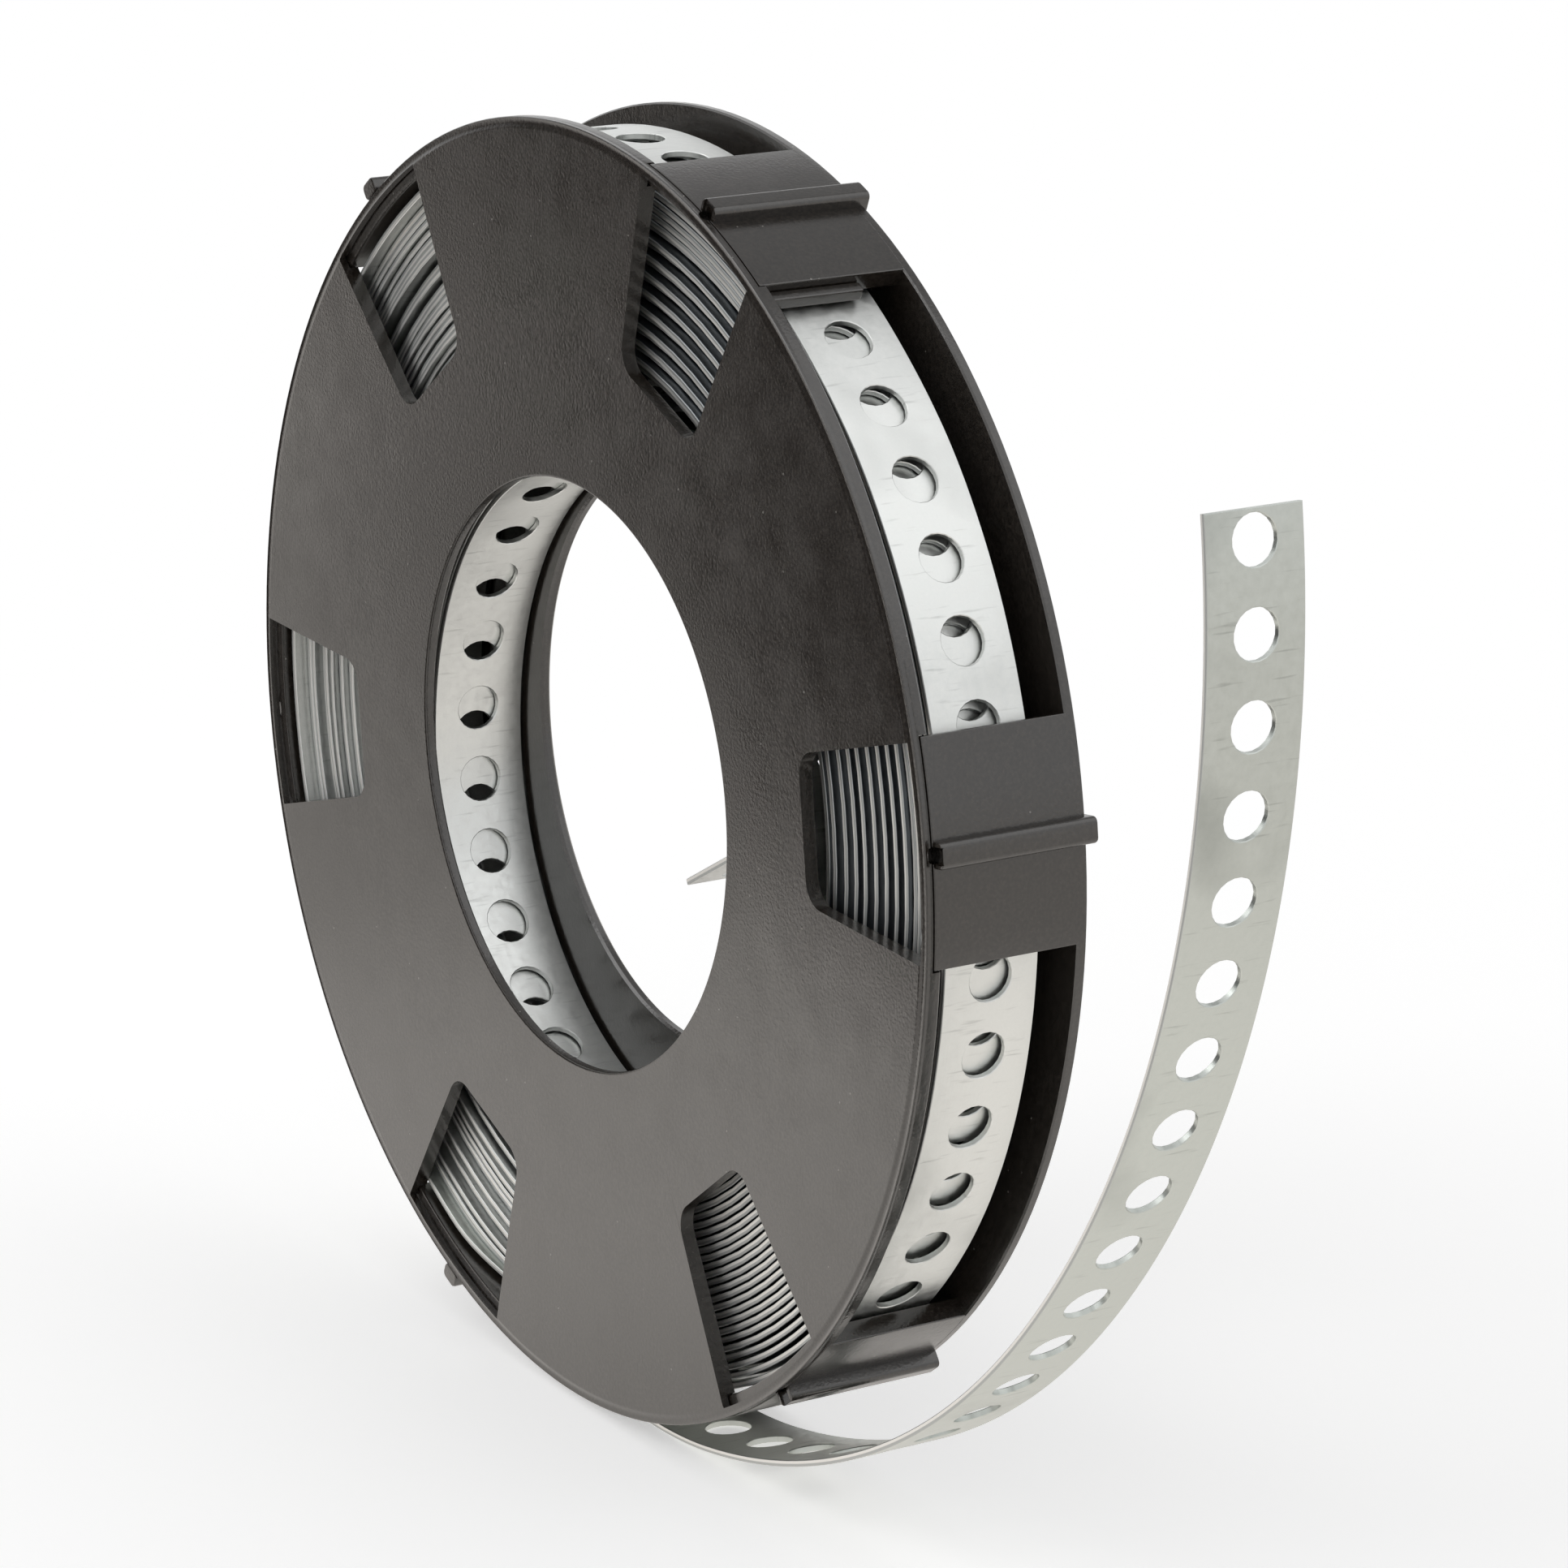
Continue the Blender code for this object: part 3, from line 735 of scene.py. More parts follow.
@dataclass
class BackHalf:
    """Back half of the cassette: a dished disc, six walls that close the windows, six ribs."""

    reel: Reel
    hub_t: float = 1.3
    rim_t: float = 1.2
    dish: float = 2.8
    hub_gap: float = 0.4
    flat_hub: float = 15.0
    flat_rim: float = 5.5
    rib_width: float = 3.0
    rib_height: float = 1.57
    tall_ribs: tuple[int, ...] = (2, 4)
    tall_rib_height: float = 2.1
    rib_overhang: float = 0.6
    rib_root: float = 1.2
    rib_round: float = 0.7
    end_round: float = 0.25
    wall_round: float = 0.2
    edge_round: float = 0.3
    steps: int = 180

    @property
    def hub_y(self) -> float:
        """Inner face of the disc at the hub."""
        return self.reel.strap_y + self.reel.strap_width + self.hub_gap

    def profile(self) -> list[tuple[float, float]]:
        """Draw the dished disc's cross-section.

        Returns:
            Corners as radius and y, with rounded edges and soft bends at the dish.
        """
        r, hub, e = self.reel.disc_r, self.reel.hub_r, self.edge_round
        rim_y, back = self.hub_y + self.dish, self.reel.back_y
        ring, flat = hub + self.flat_hub, r - self.flat_rim
        return [
            (hub, self.hub_y + e), (hub + e, self.hub_y), (ring - 2, self.hub_y + 0.12),
            (ring, self.hub_y + 0.3), (ring + 2, self.hub_y + 0.6), (flat - 1.5, rim_y - 0.22),
            (flat, rim_y), (r - 0.2, rim_y), (r, rim_y + 0.2), (r, back - 0.22),
            (r - 0.06, back - 0.06), (r - 0.22, back), (flat, back), (flat - 1.5, back - 0.22),
            (ring + 2, self.hub_y + self.hub_t + 0.6), (ring, self.hub_y + self.hub_t + 0.3),
            (ring - 2, self.hub_y + self.hub_t + 0.12), (hub + e, self.hub_y + self.hub_t),
            (hub, self.hub_y + self.hub_t - e),
        ]

    def wall(self) -> bmesh.types.BMesh:
        """Make one wall about angle 0.

        Returns:
            The wall, from behind the window's ring to the disc, with the rib's round recess.
        """
        reel = self.reel
        front, far = reel.wall_front_y, self.hub_y + self.dish + self.rim_t / 2
        lap = reel.window_angle + 2 * math.degrees(reel.wall_lap / reel.disc_r)
        inner, outer = reel.wall_inner_r, reel.disc_r - 0.02
        bm = turned([(inner, front), (outer, front), (outer, far), (inner, far)], 12, -lap / 2, lap)
        round_edges(bm, sharp_edges(bm), self.wall_round)
        return cut_away(bm, keyhole_cutter(reel))

    def rib(self, tall: bool) -> bmesh.types.BMesh:
        """One rib about angle 0: a bar across the wall with rounded edges and ends.

        Args:
            tall: Whether it stands higher and reaches the front of the rim.

        Returns:
            The rib, with the round recess in its front end where it is not a tall one.
        """
        reel = self.reel
        low = reel.disc_r + 0.03 if tall else reel.disc_r - self.rib_root
        high = reel.disc_r + (self.tall_rib_height if tall else self.rib_height)
        y0 = 0.15 - reel.rim_dish if tall else reel.wall_front_y + 0.1
        y1 = reel.back_y + self.rib_overhang
        bm = bmesh.new()
        bmesh.ops.create_cube(bm, size=1.0)
        bmesh.ops.scale(bm, vec=(high - low, y1 - y0, self.rib_width), verts=bm.verts)
        bmesh.ops.translate(bm, vec=((high + low) / 2, (y0 + y1) / 2, 0), verts=bm.verts)
        long_edges = [e for e in bm.edges if abs(e.verts[0].co.y - e.verts[1].co.y) > 5
                      and e.verts[0].co.x > reel.disc_r]
        round_edges(bm, long_edges, self.rib_round, 4)
        round_edges(bm, sharp_edges(bm), self.end_round)
        return bm if tall else cut_away(bm, keyhole_cutter(reel))

    def build(self) -> bpy.types.Object:
        """Make the back half.

        Returns:
            The back half as one object.
        """
        bm = turned(self.profile(), self.steps)
        for number, middle in enumerate(self.reel.wall_angles):
            join(bm, self.wall(), middle)
            join(bm, self.rib(number in self.tall_ribs), middle)
        return even_faces(self.reel.place(bm, "cassette_back_moulding"))


@dataclass
class StrapWinding:
    """The steel strap from the end of its tail to the bent end in the bore.

    The strap is followed from its free end inwards. A place on it is the angle that it has
    turned back, in degrees, from the start of the tail: 360 of them are one turn. The hidden
    middle turns are left unpunched.
    """

    reel: Reel
    thickness: float = 0.75
    hole_d: float = 5.5
    hole_pitch: float = 9.3
    first_hole: float = 3.2
    tail_pitch: float = 9.45
    tail_holes: int = 20
    hole_sides: int = 20
    rows: int = 5
    edge_round: float = 0.09
    wall_clearance: float = 0.7
    tight: float = 0.79
    tail_start: float = 212.5
    tail_bends: tuple[tuple[float, float], ...] = (
        (26.44, 0.890), (14.66, 1.873), (26.88, 1.022), (18.03, 1.523), (18.55, 1.480),
        (51.52, 1.631))
    pack_turns: int = 24
    pack_depth: float = 23.0
    tight_turns: int = 8
    ease_turns: float = 0.8
    all_turns: int = 26
    bore_r: float = 40.8
    bore_side: float = 1.3
    bore_sag: float = 4.9
    loose_gap: float = 1.0
    bulge_fade: float = 0.7
    lean: float = 2.2
    lean_from: float = 47.0
    lean_to: float = 135.0
    lean_fade: float = 0.62
    bulges: tuple[tuple[float, float], ...] = (
        (0, 0.0), (85, 0.1), (114, 1.4), (144, 0.4), (159, 0.45), (174, 0.88), (190, 1.0),
        (205, 1.08), (238, 1.6), (262, 1.2), (300, 0.3), (325, 0.02), (360, 0.0))
    tab_place: float = 12.9
    tab_slope: float = 210.0
    tab_length: float = 22.7
    tab_bend_r: float = 2.2
    next_hole_shift: float = 3.4
    punched_outer: int = 4
    punched_inner: int = 3
    points: list[Vector] = field(default_factory=list)
    offsets: list[float] = field(default_factory=list)
    lengths: list[float] = field(default_factory=list)
    backs: list[float] = field(default_factory=list)
    spares: list[list[float]] = field(default_factory=list)
    shifts: list[list[float]] = field(default_factory=list)

    @property
    def outer_r(self) -> float:
        """Centre-line radius of the outermost turn."""
        return self.reel.wall_inner_r - self.wall_clearance - self.thickness / 2

    def tail_line(self) -> list[Vector]:
        """Draw the centre line of the tail.

        Returns:
            Points as x and z, from inside the coil to the free end.
        """
        point, heading = Vector(polar(self.outer_r, self.tail_start)), self.tail_start + 90.0
        line = [point]
        for degrees, ratio in self.tail_bends:
            radius = ratio * self.outer_r
            steps = max(2, round(math.radians(degrees) * radius / 1.5))
            for _ in range(steps):
                turn = degrees / steps
                chord = 2 * radius * math.sin(math.radians(turn / 2))
                line.append(line[-1] + Vector(polar(chord, heading + turn / 2)))
                heading += turn
        return line

    def seated_tail(self) -> list[Vector]:
        """Seat the tail on the turn below it, until it leaves.

        Returns:
            The tail's line with its first points lifted off the axis.
        """
        seated = []
        for p in self.tail_line():
            lift = self.outer_r - p.length
            seat = p.length + (lift + math.sqrt(lift * lift + 0.09)) / 2 if abs(lift) < 3 else p.length
            seated.append(p.normalized() * seat)
        return seated

    def draw_windows(self) -> None:
        """Draw, for each window, how the spare room and the sideways shifts fall on the turns.

        On the right the turns lie in pairs, with every second edge set back. At the lower
        right they lie evenly, and on the left the order is loose.
        """
        rng = random.Random(SEED)
        for station, middle in enumerate(self.reel.wall_angles):
            loose, shift = [], []
            for turn in range(self.all_turns + 2):
                paired = middle < 100.0
                even = middle > 300.0
                if even:
                    room, side = 1.0 + rng.uniform(-0.25, 0.25), rng.uniform(-0.12, 0.12)
                elif turn < self.tight_turns - 1:
                    room = 0.08 if paired else rng.uniform(0.1, 0.5)
                    side = rng.uniform(-0.15, 0.1) if paired else rng.choice((-0.2, 0.1, 0.7, 0.9))
                elif paired:
                    set_back = (turn + station) % 2 == 0
                    room = 0.35 if set_back else 1.3 + rng.uniform(-0.3, 0.3)
                    side = rng.uniform(0.45, 0.8) if set_back else rng.uniform(-0.65, -0.45)
                else:
                    room = rng.choice((0.1, 0.5, 1.2, 1.9))
                    side = rng.choice((-0.65, -0.4, -0.1, 0.4, 0.7))
                loose.append(room)
                shift.append(side)
            packed = loose[:self.pack_turns]
            self.spares.append([room / sum(packed) for room in packed])
            self.shifts.append(shift)

    def bulge(self, back: float) -> float:
        """How far a turn stands out between the walls, less on each deeper turn.

        Args:
            back: Place on the winding, in degrees back from the tail's start.

        Returns:
            Millimetres outwards.
        """
        part = back % 360.0
        for (a, low), (b, high) in zip(self.bulges, self.bulges[1:]):
            if a <= part <= b:
                ease = (1 - math.cos(math.pi * (part - a) / (b - a))) / 2
                return (low + (high - low) * ease) * self.bulge_fade ** (back / 360.0)
        return 0.0

    def share(self, station: int, turns: float) -> float:
        """Share of the spare room that lies outside a turn at one window.

        Args:
            station: Number of the window.
            turns: Turns back from the tail's start.

        Returns:
            A part from 0 to 1.
        """
        middle = self.reel.wall_angles[station]
        done = turns - ((self.tail_start - middle) % 360.0) / 360.0
        if done <= 0.0:
            return 0.0
        whole = int(done)
        rooms = self.spares[station]
        if whole >= len(rooms):
            return 1.0
        return sum(rooms[:whole]) + rooms[whole] * (done - whole)

    def between(self, back: float) -> tuple[int, int, float]:
        """Find the windows on both sides of a place.

        Args:
            back: Place on the winding, in degrees back from the tail's start.

        Returns:
            The numbers of the two windows, and the eased part of the way between them.
        """
        pitch = 360.0 / self.reel.walls
        place = ((self.tail_start - back - self.reel.wall_turn) % 360.0) / pitch
        low = int(place) % self.reel.walls
        return low, (low + 1) % self.reel.walls, (1 - math.cos(math.pi * (place - int(place)))) / 2

    def bore_line_r(self, degrees: float) -> float:
        """Radius of the innermost turn's centre line, whose circle has sunk off the axis.

        Args:
            degrees: Angle about the reel's axis, in degrees.

        Returns:
            The radius from the reel's axis.
        """
        x, z = polar(1.0, degrees)
        ahead = self.bore_side * x - self.bore_sag * z
        radius = self.bore_r + self.thickness / 2
        return ahead + math.sqrt(ahead ** 2 + radius ** 2 - self.bore_side ** 2 - self.bore_sag ** 2)

    def radius(self, back: float) -> float:
        """Centre-line radius at a place on the winding.

        Args:
            back: The place, in degrees back from the tail's start.

        Returns:
            The radius from the reel's axis.
        """
        turns = back / 360.0
        low, high, ease = self.between(back)
        share = self.share(low, turns) * (1 - ease) + self.share(high, turns) * ease
        spare = self.pack_depth - self.tight * self.pack_turns
        packed = self.outer_r - self.tight * turns - spare * share + self.bulge(back)
        left = self.all_turns - turns
        loose = self.bore_line_r(self.tail_start - back) + self.loose_gap * max(left, 0.0)
        part = min(max((turns - self.pack_turns) / self.ease_turns, 0.0), 1.0)
        part = (1 - math.cos(math.pi * part)) / 2
        return packed * (1 - part) + loose * part

    def offset(self, back: float, radius: float) -> float:
        """Sideways shift of the strip, kept clear of the back disc.

        Args:
            back: Place on the winding, in degrees back from the tail's start.
            radius: Centre-line radius there.

        Returns:
            Millimetres towards the back disc.
        """
        low, high, ease = self.between(back)
        found = []
        for station in (low, high):
            start = ((self.tail_start - self.reel.wall_angles[station]) % 360.0) / 360.0
            turn = min(max(round(back / 360.0 - start), 0), len(self.shifts[station]) - 1)
            found.append(self.shifts[station][turn])
        wanted = found[0] * (1 - ease) + found[1] * ease
        free = min(max((back - 60.0) / 300.0, 0.0), 1.0)
        free *= min(max((self.pack_turns * 360.0 - back) / 300.0, 0.0), 1.0)
        return min(wanted * free, 0.12 + max(0.0, radius - 50.0) * 0.11)

    def leaning(self, back: float) -> float:
        """How far the outer turns lean to the front disc, between the tail and the top.

        Args:
            back: Place on the winding, in degrees back from the tail's start.

        Returns:
            Millimetres towards the back disc, so a lean to the front is negative.
        """
        turn, part = divmod(back + self.lean_from, 360.0)
        start = min(max(part / 15.0, 0.0), 1.0)
        stop = min(max((self.lean_to + self.lean_from - part) / 35.0, 0.0), 1.0)
        depth = self.lean * (1.0 if turn < 1 else self.lean_fade ** turn)
        return -depth * (1 - math.cos(math.pi * start * stop)) / 2

    def corner_back(self) -> float:
        """Find where the bend at the bore starts, just before its corner.

        Returns:
            The place, in degrees back from the tail's start.
        """
        radius = self.bore_r + self.thickness / 2
        slope = (self.tab_place - 90.0 - self.tab_slope) % 360.0
        before = self.tab_bend_r * math.tan(math.radians(slope / 2))
        x, z = polar(radius, self.tab_place + math.degrees(before / radius))
        angle = math.degrees(math.atan2(z - self.bore_sag, x + self.bore_side))
        return self.all_turns * 360.0 + self.tail_start - angle

    def lay(self) -> None:
        """Work out the centre line, the sideways offset and the length at each point."""
        self.draw_windows()
        line = list(reversed(self.seated_tail()))
        passed = [(math.degrees(math.atan2(p.y, p.x)) - self.tail_start) % 360.0 for p in line]
        sideways = [self.leaning(-p) if p < 90.0 else 0.0 for p in passed]
        backs = [0.0] * len(line)
        total = self.corner_back()
        steps = round(total / 2.0)
        for k in range(1, steps + 1):
            back = total * k / steps
            radius = self.radius(back)
            line.append(Vector(polar(radius, self.tail_start - back)))
            sideways.append(self.offset(back, radius) + self.leaning(back))
            backs.append(back)
        ahead = line[-1] - line[-2]
        heading = math.degrees(math.atan2(ahead.y, ahead.x))
        bend = (heading - self.tab_slope) % 360.0
        pieces = 8
        for _ in range(pieces):
            turn = bend / pieces
            chord = 2 * self.tab_bend_r * math.sin(math.radians(turn / 2))
            line.append(line[-1] + Vector(polar(chord, heading - turn / 2)))
            heading -= turn
            sideways.append(0.0)
            backs.append(total)
        line.append(line[-1] + Vector(polar(self.tab_length, heading)))
        sideways.append(0.0)
        backs.append(total)
        self.points, self.offsets, self.backs = line, sideways, backs
        self.lengths = [0.0]
        for a, b in zip(line, line[1:]):
            self.lengths.append(self.lengths[-1] + (b - a).length)

    def length_at(self, turn: int, degrees: float) -> float:
        """Length along the strip where a turn passes an angle about the reel's axis.

        Args:
            turn: Whole turns back from the tail's start.
            degrees: The angle, in degrees.

        Returns:
            Millimetres from the free end.
        """
        back = (self.tail_start - degrees) % 360.0 + 360.0 * turn
        i = bisect.bisect_left(self.backs, back)
        low, high = self.backs[i - 1], self.backs[i]
        before, after = self.lengths[i - 1], self.lengths[i]
        return before + (after - before) * (back - low) / (high - low)

    def hole_places(self) -> list[float]:
        """Place the holes: fixed where they show, and evenly spread between.

        Returns:
            The length of each hole's centre, in millimetres from the free end.
        """
        last = self.all_turns
        tail_end = self.first_hole + self.tail_pitch * (self.tail_holes - 1)
        known = [self.first_hole, tail_end]
        for turn, holes in ((0, (38.93, -25.37)), (last - 1, (233.09, 129.36))):
            for layer in (0, 1):
                for degrees in holes:
                    layer_turn = turn + layer
                    behind = layer == (1 if turn == 0 else 0)
                    arm = self.outer_r if turn == 0 else self.bore_r + 1.0
                    shift = math.degrees(self.next_hole_shift / arm) if behind else 0.0
                    past_start = turn > 0 and (self.tail_start - degrees - shift) % 360.0 > 180.0
                    known.append(self.length_at(layer_turn - past_start, degrees + shift))
        known.append(self.lengths[-1] - self.first_hole)
        places = known[:1]
        for a, b in zip(known, known[1:]):
            count = max(1, round((b - a) / self.hole_pitch))
            places += [a + (b - a) * (k + 1) / count for k in range(count)]
        return places

    def free_length(self) -> float:
        """Length of the tail, up to the place where the winding starts."""
        return self.lengths[bisect.bisect_right(self.backs, 0.0) - 1]

    def covered(self) -> tuple[float, float]:
        """Lengths between which the strip's faces lie on other turns."""
        return (self.length_at(1, self.tail_start - 1.0),
                self.length_at(self.all_turns - 2, self.tail_start - 1.0))

    def at(self, run: float) -> tuple[Vector, Vector, float]:
        """Find a place on the laid strap.

        Args:
            run: Length along the strap, in millimetres from the free end.

        Returns:
            The centre point, the outward normal and the sideways offset there.
        """
        run = min(max(run, 0.0), self.lengths[-1])
        i = min(max(bisect.bisect_right(self.lengths, run) - 1, 0), len(self.points) - 2)
        part = (run - self.lengths[i]) / (self.lengths[i + 1] - self.lengths[i])
        point = self.points[i].lerp(self.points[i + 1], part)
        before = self.points[max(i - 1, 0)]
        after = self.points[min(i + 2, len(self.points) - 1)]
        near = (self.points[i + 1] - before).lerp(after - self.points[i], part).normalized()
        offset = self.offsets[i] + (self.offsets[i + 1] - self.offsets[i]) * part
        return point, Vector((-near.y, near.x)), offset

    def punched_cell(self) -> bmesh.types.BMesh:
        """Make one flat cell of the strip with its round hole.

        Returns:
            Quads between the cell's outline and the hole.
        """
        bm = bmesh.new()
        bmesh.ops.create_grid(bm, x_segments=self.rows, y_segments=self.rows, size=0.5)
        inner = [v for v in bm.verts if not v.is_boundary]
        bmesh.ops.delete(bm, geom=inner, context="VERTS")
        bmesh.ops.scale(bm, vec=(self.hole_pitch, self.reel.strap_width, 1), verts=bm.verts)
        frame_edges = list(bm.edges)
        made = bmesh.ops.create_circle(bm, cap_ends=False, segments=self.hole_sides,
                                       radius=self.hole_d / 2)
        bmesh.ops.rotate(bm, cent=(0, 0, 0), verts=made["verts"],
                         matrix=Matrix.Rotation(math.radians(180 / self.hole_sides), 3, "Z"))
        hole_edges = [e for e in bm.edges if e not in frame_edges]
        bmesh.ops.bridge_loops(bm, edges=frame_edges + hole_edges)
        return bm

    def plain_cell(self) -> bmesh.types.BMesh:
        """Make one flat cell of the strip without a hole.

        Returns:
            A grid with the same rows as a punched cell.
        """
        bm = bmesh.new()
        bmesh.ops.create_grid(bm, x_segments=2, y_segments=self.rows, size=0.5)
        bmesh.ops.scale(bm, vec=(self.hole_pitch, self.reel.strap_width, 1), verts=bm.verts)
        return bm

    def flat_strip(self) -> bmesh.types.BMesh:
        """Make the whole strip laid out flat.

        Returns:
            The strip with its length along X, its width along Y and its thickness along Z.
        """
        bm = bmesh.new()
        whole = self.lengths[-1]
        last_punched = self.length_at(self.punched_outer, self.tail_start - 1.0)
        first_inner = self.length_at(self.all_turns - self.punched_inner, self.tail_start - 1.0)
        kinds = {}
        for key, part in (("punched", self.punched_cell()), ("plain", self.plain_cell())):
            kinds[key] = bpy.data.meshes.new(key)
            part.to_mesh(kinds[key])
            part.free()
        places = self.hole_places()
        borders = [0.0] + [(a + b) / 2 for a, b in zip(places, places[1:])] + [whole]
        round_part = self.hole_d / 2 + 0.01
        for middle, start, end in zip(places, borders, borders[1:]):
            key = "plain" if last_punched < middle < first_inner else "punched"
            count = len(bm.verts)
            bm.from_mesh(kinds[key])
            bm.verts.ensure_lookup_table()
            for v in bm.verts[count:]:
                if key == "plain" or v.co.xy.length > round_part:
                    v.co.x *= 2 / self.hole_pitch * (end - middle if v.co.x > 0 else middle - start)
                v.co.x += middle
        for mesh in kinds.values():
            bpy.data.meshes.remove(mesh)
        bmesh.ops.remove_doubles(bm, verts=bm.verts, dist=0.01)
        made = bmesh.ops.extrude_face_region(bm, geom=list(bm.faces))
        top = [v for v in made["geom"] if isinstance(v, bmesh.types.BMVert)]
        bmesh.ops.translate(bm, verts=top, vec=(0, 0, self.thickness))
        bmesh.ops.translate(bm, verts=bm.verts, vec=(0, 0, -self.thickness / 2))
        bmesh.ops.recalc_face_normals(bm, faces=bm.faces)
        rims = [e for e in sharp_edges(bm, 60) if abs(e.verts[0].co.z - e.verts[1].co.z) < 0.1]
        round_edges(bm, rims, self.edge_round, 1)
        return bm

    def build(self) -> bpy.types.Object:
        """Make the strap as one continuous object.

        Returns:
            The strap, with a UV map that runs along it in millimetres.
        """
        self.lay()
        bm = self.flat_strip()
        uv = bm.loops.layers.uv.new("strip")
        bm.normal_update()
        half = self.reel.strap_width / 2
        for face in bm.faces:
            slit = abs(face.normal.y) > 0.8 and abs(face.calc_center_median().y) > half - 0.2
            for loop in face.loops:
                x, y, z = loop.vert.co
                across = half + 0.1 + self.thickness / 2 + z
                loop[uv].uv = (x, math.copysign(across, y) if slit else y)
        middle = self.reel.strap_y + self.reel.strap_width / 2
        for v in bm.verts:
            point, normal, offset = self.at(v.co.x)
            place = point - normal * v.co.z
            v.co = Vector((place.x, middle + v.co.y + offset, place.y))
        bmesh.ops.recalc_face_normals(bm, faces=bm.faces)
        log.info("strap %.0f mm long, %d faces", self.lengths[-1], len(bm.faces))
        return self.reel.place(bm, "steel_strap")


@dataclass(frozen=True)
class PhotoCamera:
    """The photograph's camera, fitted to the rims, the walls and the tail's holes."""

    reel: Reel
    azimuth: float = 57.9456
    elevation: float = 16.5114
    roll: float = 0.6227
    position: tuple[float, float, float] = (564.645, -324.084, 192.139)
    lens: float = 133.941

    def build(self) -> bpy.types.Object:
        """Add the camera and make it the scene's own.

        Returns:
            The camera.
        """
        a, b, c = (math.radians(v) for v in (self.azimuth, self.elevation, self.roll))
        ahead = Vector((-math.sin(a) * math.cos(b), math.cos(a) * math.cos(b), -math.sin(b)))
        level = ahead.cross(Vector((0, 0, 1))).normalized()
        right = level * math.cos(c) + level.cross(ahead) * math.sin(c)
        up = right.cross(ahead)
        camera = bpy.data.cameras.new("photo_camera")
        camera.lens, camera.sensor_width = self.lens, 36.0
        camera.clip_start, camera.clip_end = 0.01, 20.0
        obj = bpy.data.objects.new("photo_camera", camera)
        obj.matrix_world = Matrix.Translation(self.reel.origin + Vector(self.position) * MM) @ (
            Matrix((right, up, -ahead)).transposed().to_4x4())
        bpy.context.scene.collection.objects.link(obj)
        bpy.context.scene.camera = obj
        return obj


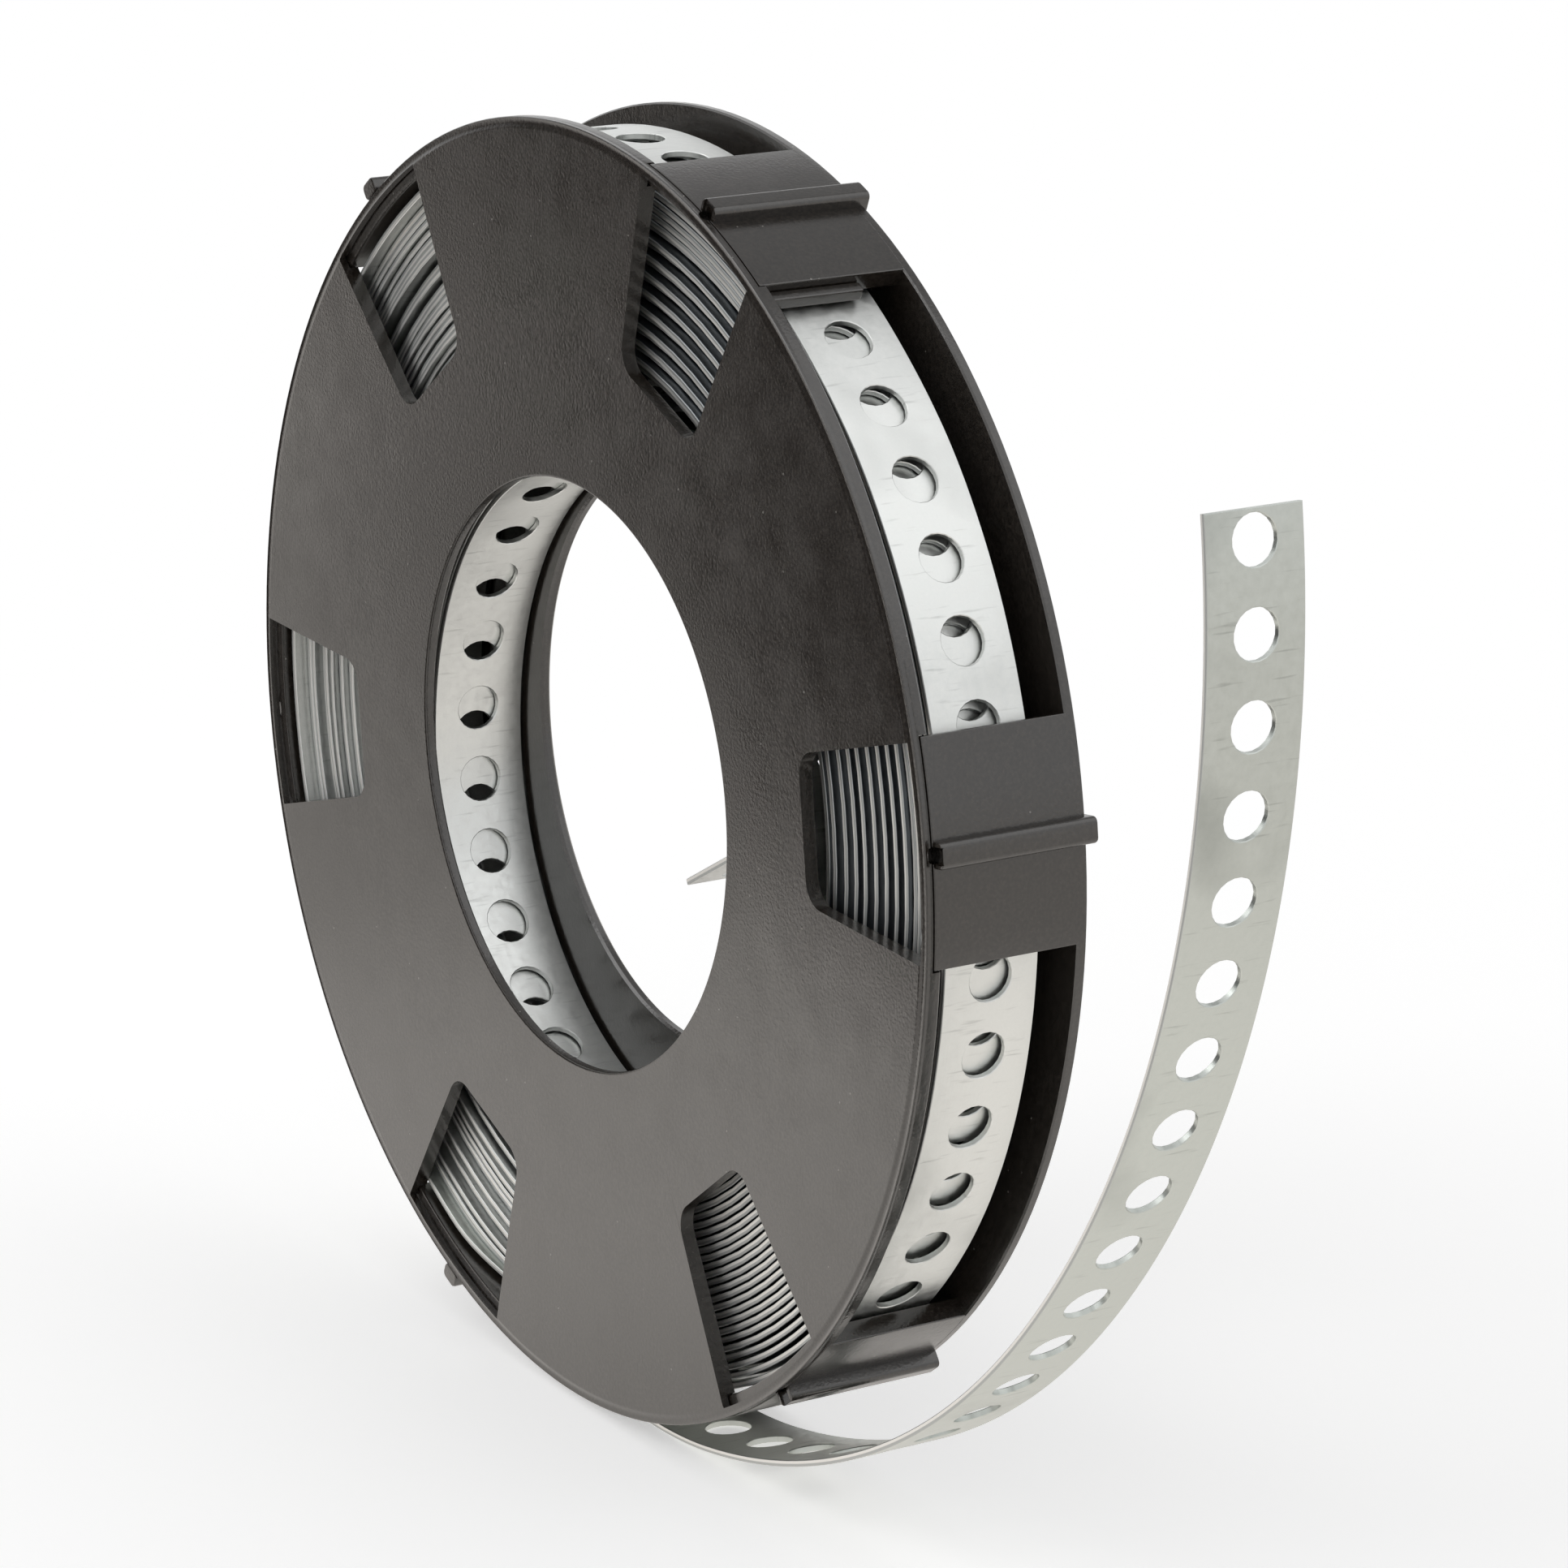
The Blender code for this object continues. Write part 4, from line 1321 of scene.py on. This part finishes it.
@dataclass(frozen=True)
class Studio:
    """A pale floor that runs out into white, large soft lamps, two dark cards and a grey flag."""

    floor_colour: str = "#f6f6f6"
    room_colour: str = "#ffffff"
    room_level: float = 0.5
    glow_colour: str = "#fffaf4"
    card_colour: str = "#3c3c3c"
    flag_colour: str = "#c0c0c0"
    lift: float = 0.42
    floor_size: float = 4.0
    card_height: float = 0.002
    near: float = 0.12
    far: float = 0.4
    glow: float = 0.92
    # painted pools of light on the floor, which only reflections show: x and y of the centre, the
    # distances where each starts and stops fading, in metres, and its added strength
    glow_spots: tuple[tuple[float, float, float, float, float], ...] = (
        (-0.095, -0.075, 0.04, 0.14, 0.38), (-0.5, -0.23, 0.02, 0.14, 0.28),
        (0.18, -0.05, 0.1, 0.22, 0.24))
    card_corners: tuple[tuple[float, float], ...] = (
        (-40.0, -118.0), (-94.0, -122.0), (-180.0, -133.0), (-268.0, -157.0), (-330.0, -180.0),
        (-400.0, -206.0), (-450.0, -236.0), (-620.0, -312.0), (-2400.0, -1000.0),
        (-2400.0, -2400.0), (-40.0, -2400.0))
    upright_card: tuple[tuple[float, float, float], ...] = (
        (-2.4, -0.88, 0.0), (-0.9, -2.4, 0.0), (-0.9, -2.4, 1.4), (-2.4, -0.88, 1.4))
    overhead_flag: tuple[tuple[float, float, float], ...] = (
        (-1.3, 0.1, 1.25), (0.0, 0.1, 1.25), (0.0, 1.4, 1.25), (-1.3, 1.4, 1.25))

    def seen(self, tree: bpy.types.NodeTree) -> bpy.types.NodeSocket:
        """Tell the rays that see a surface from those that only light the part.

        Args:
            tree: Node tree that gets the nodes.

        Returns:
            A factor that is 1 for camera, glossy and transmission rays.
        """
        path = add_node(tree, "ShaderNodeLightPath").outputs
        first = add_node(tree, "ShaderNodeMath", {"operation": "MAXIMUM"},
                         {0: path["Is Camera Ray"], 1: path["Is Glossy Ray"]})
        return add_node(tree, "ShaderNodeMath", {"operation": "MAXIMUM"},
                        {0: first.outputs[0], 1: path["Is Transmission Ray"]}).outputs[0]

    def panel(self, name: str, corners: list[tuple[float, float, float]]) -> bpy.types.Object:
        """Add one flat stage panel with its own empty node tree material.

        Args:
            name: Name of the panel and of its material.
            corners: Corners in metres.

        Returns:
            The panel.
        """
        bm = bmesh.new()
        bm.faces.new([bm.verts.new(corner) for corner in corners])
        mesh = bpy.data.meshes.new(name)
        bm.to_mesh(mesh)
        bm.free()
        mesh.materials.append(bpy.data.materials.new(name))
        mesh.materials[0].use_nodes = True
        obj = bpy.data.objects.new(name, mesh)
        bpy.context.scene.collection.objects.link(obj)
        return obj

    def floor(self) -> None:
        """Add the pale floor.

        It keeps the shadow near the part and runs out into white. Reflections show it with
        painted pools of light, two of them close to the part.
        """
        s = self.floor_size
        obj = self.panel("studio_floor", [(-s, -s, 0), (s, -s, 0), (s, s, 0), (-s, s, 0)])
        tree = obj.data.materials[0].node_tree
        shader = tree.nodes["Principled BSDF"]
        shader.inputs["Base Color"].default_value = linear(self.floor_colour)
        shader.inputs["Roughness"].default_value = 0.9
        shader.inputs["Specular IOR Level"].default_value = 0.1
        where = add_node(tree, "ShaderNodeTexCoord").outputs["Object"]
        away = add_node(tree, "ShaderNodeVectorMath", {"operation": "LENGTH"}, {0: where})
        fade = add_node(tree, "ShaderNodeMapRange", {"interpolation_type": "SMOOTHSTEP",
                                                     "From Min": self.near, "From Max": self.far},
                        {"Value": away.outputs["Value"]})
        seen = self.seen(tree)
        lift = add_node(tree, "ShaderNodeMath", {"operation": "MULTIPLY", 1: self.lift}, {0: seen})
        shader.inputs["Emission Color"].default_value = linear(self.room_colour)
        tree.links.new(lift.outputs[0], shader.inputs["Emission Strength"])
        white = add_node(tree, "ShaderNodeMath", {"operation": "MULTIPLY"},
                         {0: fade.outputs["Result"], 1: seen})
        glossy = add_node(tree, "ShaderNodeLightPath").outputs["Is Glossy Ray"]
        part = add_node(tree, "ShaderNodeMath", {"operation": "MAXIMUM"},
                        {0: white.outputs[0], 1: glossy})
        # painted pools of light, and a warmer tint, that only glossy rays see
        pools = None
        for x, y, low, high, spot in self.glow_spots:
            beside = add_node(tree, "ShaderNodeVectorMath",
                              {"operation": "DISTANCE", 1: (x, y, 0.0)}, {0: where})
            pool = add_node(tree, "ShaderNodeMapRange", {"interpolation_type": "SMOOTHSTEP",
                                                         "From Min": low, "From Max": high,
                                                         "To Min": spot, "To Max": 0.0},
                            {"Value": beside.outputs["Value"]})
            before = {0: pools.outputs[0]} if pools else {}
            pools = add_node(tree, "ShaderNodeMath", {"operation": "ADD", 0: self.glow},
                             {1: pool.outputs["Result"], **before})
        level = add_node(tree, "ShaderNodeMix", {2: 1.0}, {0: glossy, 3: pools.outputs[0]})
        tint = add_node(tree, "ShaderNodeMix", {"data_type": "RGBA", 6: linear(self.room_colour),
                                                7: linear(self.glow_colour)}, {0: glossy})
        light = add_node(tree, "ShaderNodeEmission", links={"Strength": level.outputs[0],
                                                            "Color": tint.outputs[2]})
        mix = add_node(tree, "ShaderNodeMixShader", links={
            0: part.outputs[0], 1: shader.outputs[0], 2: light.outputs[0]})
        tree.links.new(mix.outputs[0], tree.nodes["Material Output"].inputs["Surface"])

    def card(self, name: str, corners: list[tuple[float, float, float]], colour: str) -> None:
        """Add a card in an even colour, which only reflections show.

        Args:
            name: Name of the card.
            corners: Corners in metres.
            colour: Its sRGB colour as hex digits.
        """
        obj = self.panel(name, corners)
        tree = obj.data.materials[0].node_tree
        dark = add_node(tree, "ShaderNodeEmission", {"Color": linear(colour)})
        tree.links.new(dark.outputs[0], tree.nodes["Material Output"].inputs["Surface"])
        obj.visible_camera = obj.visible_diffuse = obj.visible_shadow = False

    def lamp(self, name: str, place: tuple[float, float, float], size: tuple[float, float],
             level: float) -> None:
        """Add one soft rectangular lamp that faces the part.

        Args:
            name: Name of the lamp.
            place: Where it is, in metres.
            size: Its width and height, in metres.
            level: Brightness of its face, where 1 shows as white.
        """
        light = bpy.data.lights.new(name, "AREA")
        light.shape, light.size, light.size_y = "RECTANGLE", size[0], size[1]
        light.energy = level * math.pi * size[0] * size[1]
        obj = bpy.data.objects.new(name, light)
        look = Vector((0.0, 0.0, 0.06)) - Vector(place)
        facing = look.to_track_quat("-Z", "Y").to_matrix().to_4x4()
        obj.matrix_world = Matrix.Translation(place) @ facing
        bpy.context.scene.collection.objects.link(obj)

    def room(self) -> None:
        """Give the room a white that rays see, and a plain level that lights the part."""
        world = bpy.data.worlds.new("studio_room")
        world.use_nodes = True
        tree = world.node_tree
        tree.nodes["Background"].inputs["Color"].default_value = linear(self.room_colour)
        level = add_node(tree, "ShaderNodeMapRange", {"To Min": self.room_level, "To Max": 1.0},
                         {"Value": self.seen(tree)})
        tree.links.new(level.outputs["Result"], tree.nodes["Background"].inputs["Strength"])
        bpy.context.scene.world = world

    def build(self, origin: Vector) -> None:
        """Add the floor, the cards, the lamps and the room's light.

        Args:
            origin: Place of the reel's axis, in metres.
        """
        self.floor()
        self.card("floor_card", [(origin.x + x * MM, origin.y + y * MM, self.card_height)
                                 for x, y in self.card_corners], self.card_colour)
        self.card("upright_card", list(self.upright_card), self.card_colour)
        self.card("overhead_flag", list(self.overhead_flag), self.flag_colour)
        self.lamp("top_softbox", (0.7, 0.75, 1.4), (1.5, 1.5), 0.3)
        self.lamp("left_softbox", (-0.7, -1.3, 1.1), (1.1, 1.1), 1.6)
        self.room()
        bpy.context.scene.view_settings.view_transform = "Standard"


def dress(obj: bpy.types.Object, mat: bpy.types.Material, slot: Slot, *nodes: str) -> None:
    """Give a piece its material and body, and let it stand for its CAD nodes.

    Args:
        obj: The piece.
        mat: Its material.
        slot: The record's slot for its finish. Not used.
        nodes: Names of the CAD nodes that it replaces.
    """
    obj.data.materials.clear()
    obj.data.materials.append(mat)
    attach(obj, "root")
    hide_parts(*nodes)
    log.info("%s: %d faces, stands for %s", obj.name, len(obj.data.polygons), ", ".join(nodes))


def main() -> None:
    """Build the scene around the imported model."""
    logging.basicConfig(level=logging.INFO, format="%(message)s", stream=sys.stdout)
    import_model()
    reel = Reel.from_frame()
    PhotoCamera(reel).build()
    plastic = MouldedPolypropylene().build("moulded_black_polypropylene")
    dress(FrontHalf(reel).build(), plastic, Slot.PLASTIC, "cassette_front")
    dress(BackHalf(reel).build(), plastic, Slot.PLASTIC, "cassette_back")
    winding = StrapWinding(reel)
    strap = winding.build()
    steel = GalvanisedStrip().build("electro_galvanised_strip", reel, winding.free_length(),
                                    winding.covered())
    dress(strap, steel, Slot.STEEL, "strap")
    Studio().build(reel.origin)


if __name__ == "__main__":
    main()
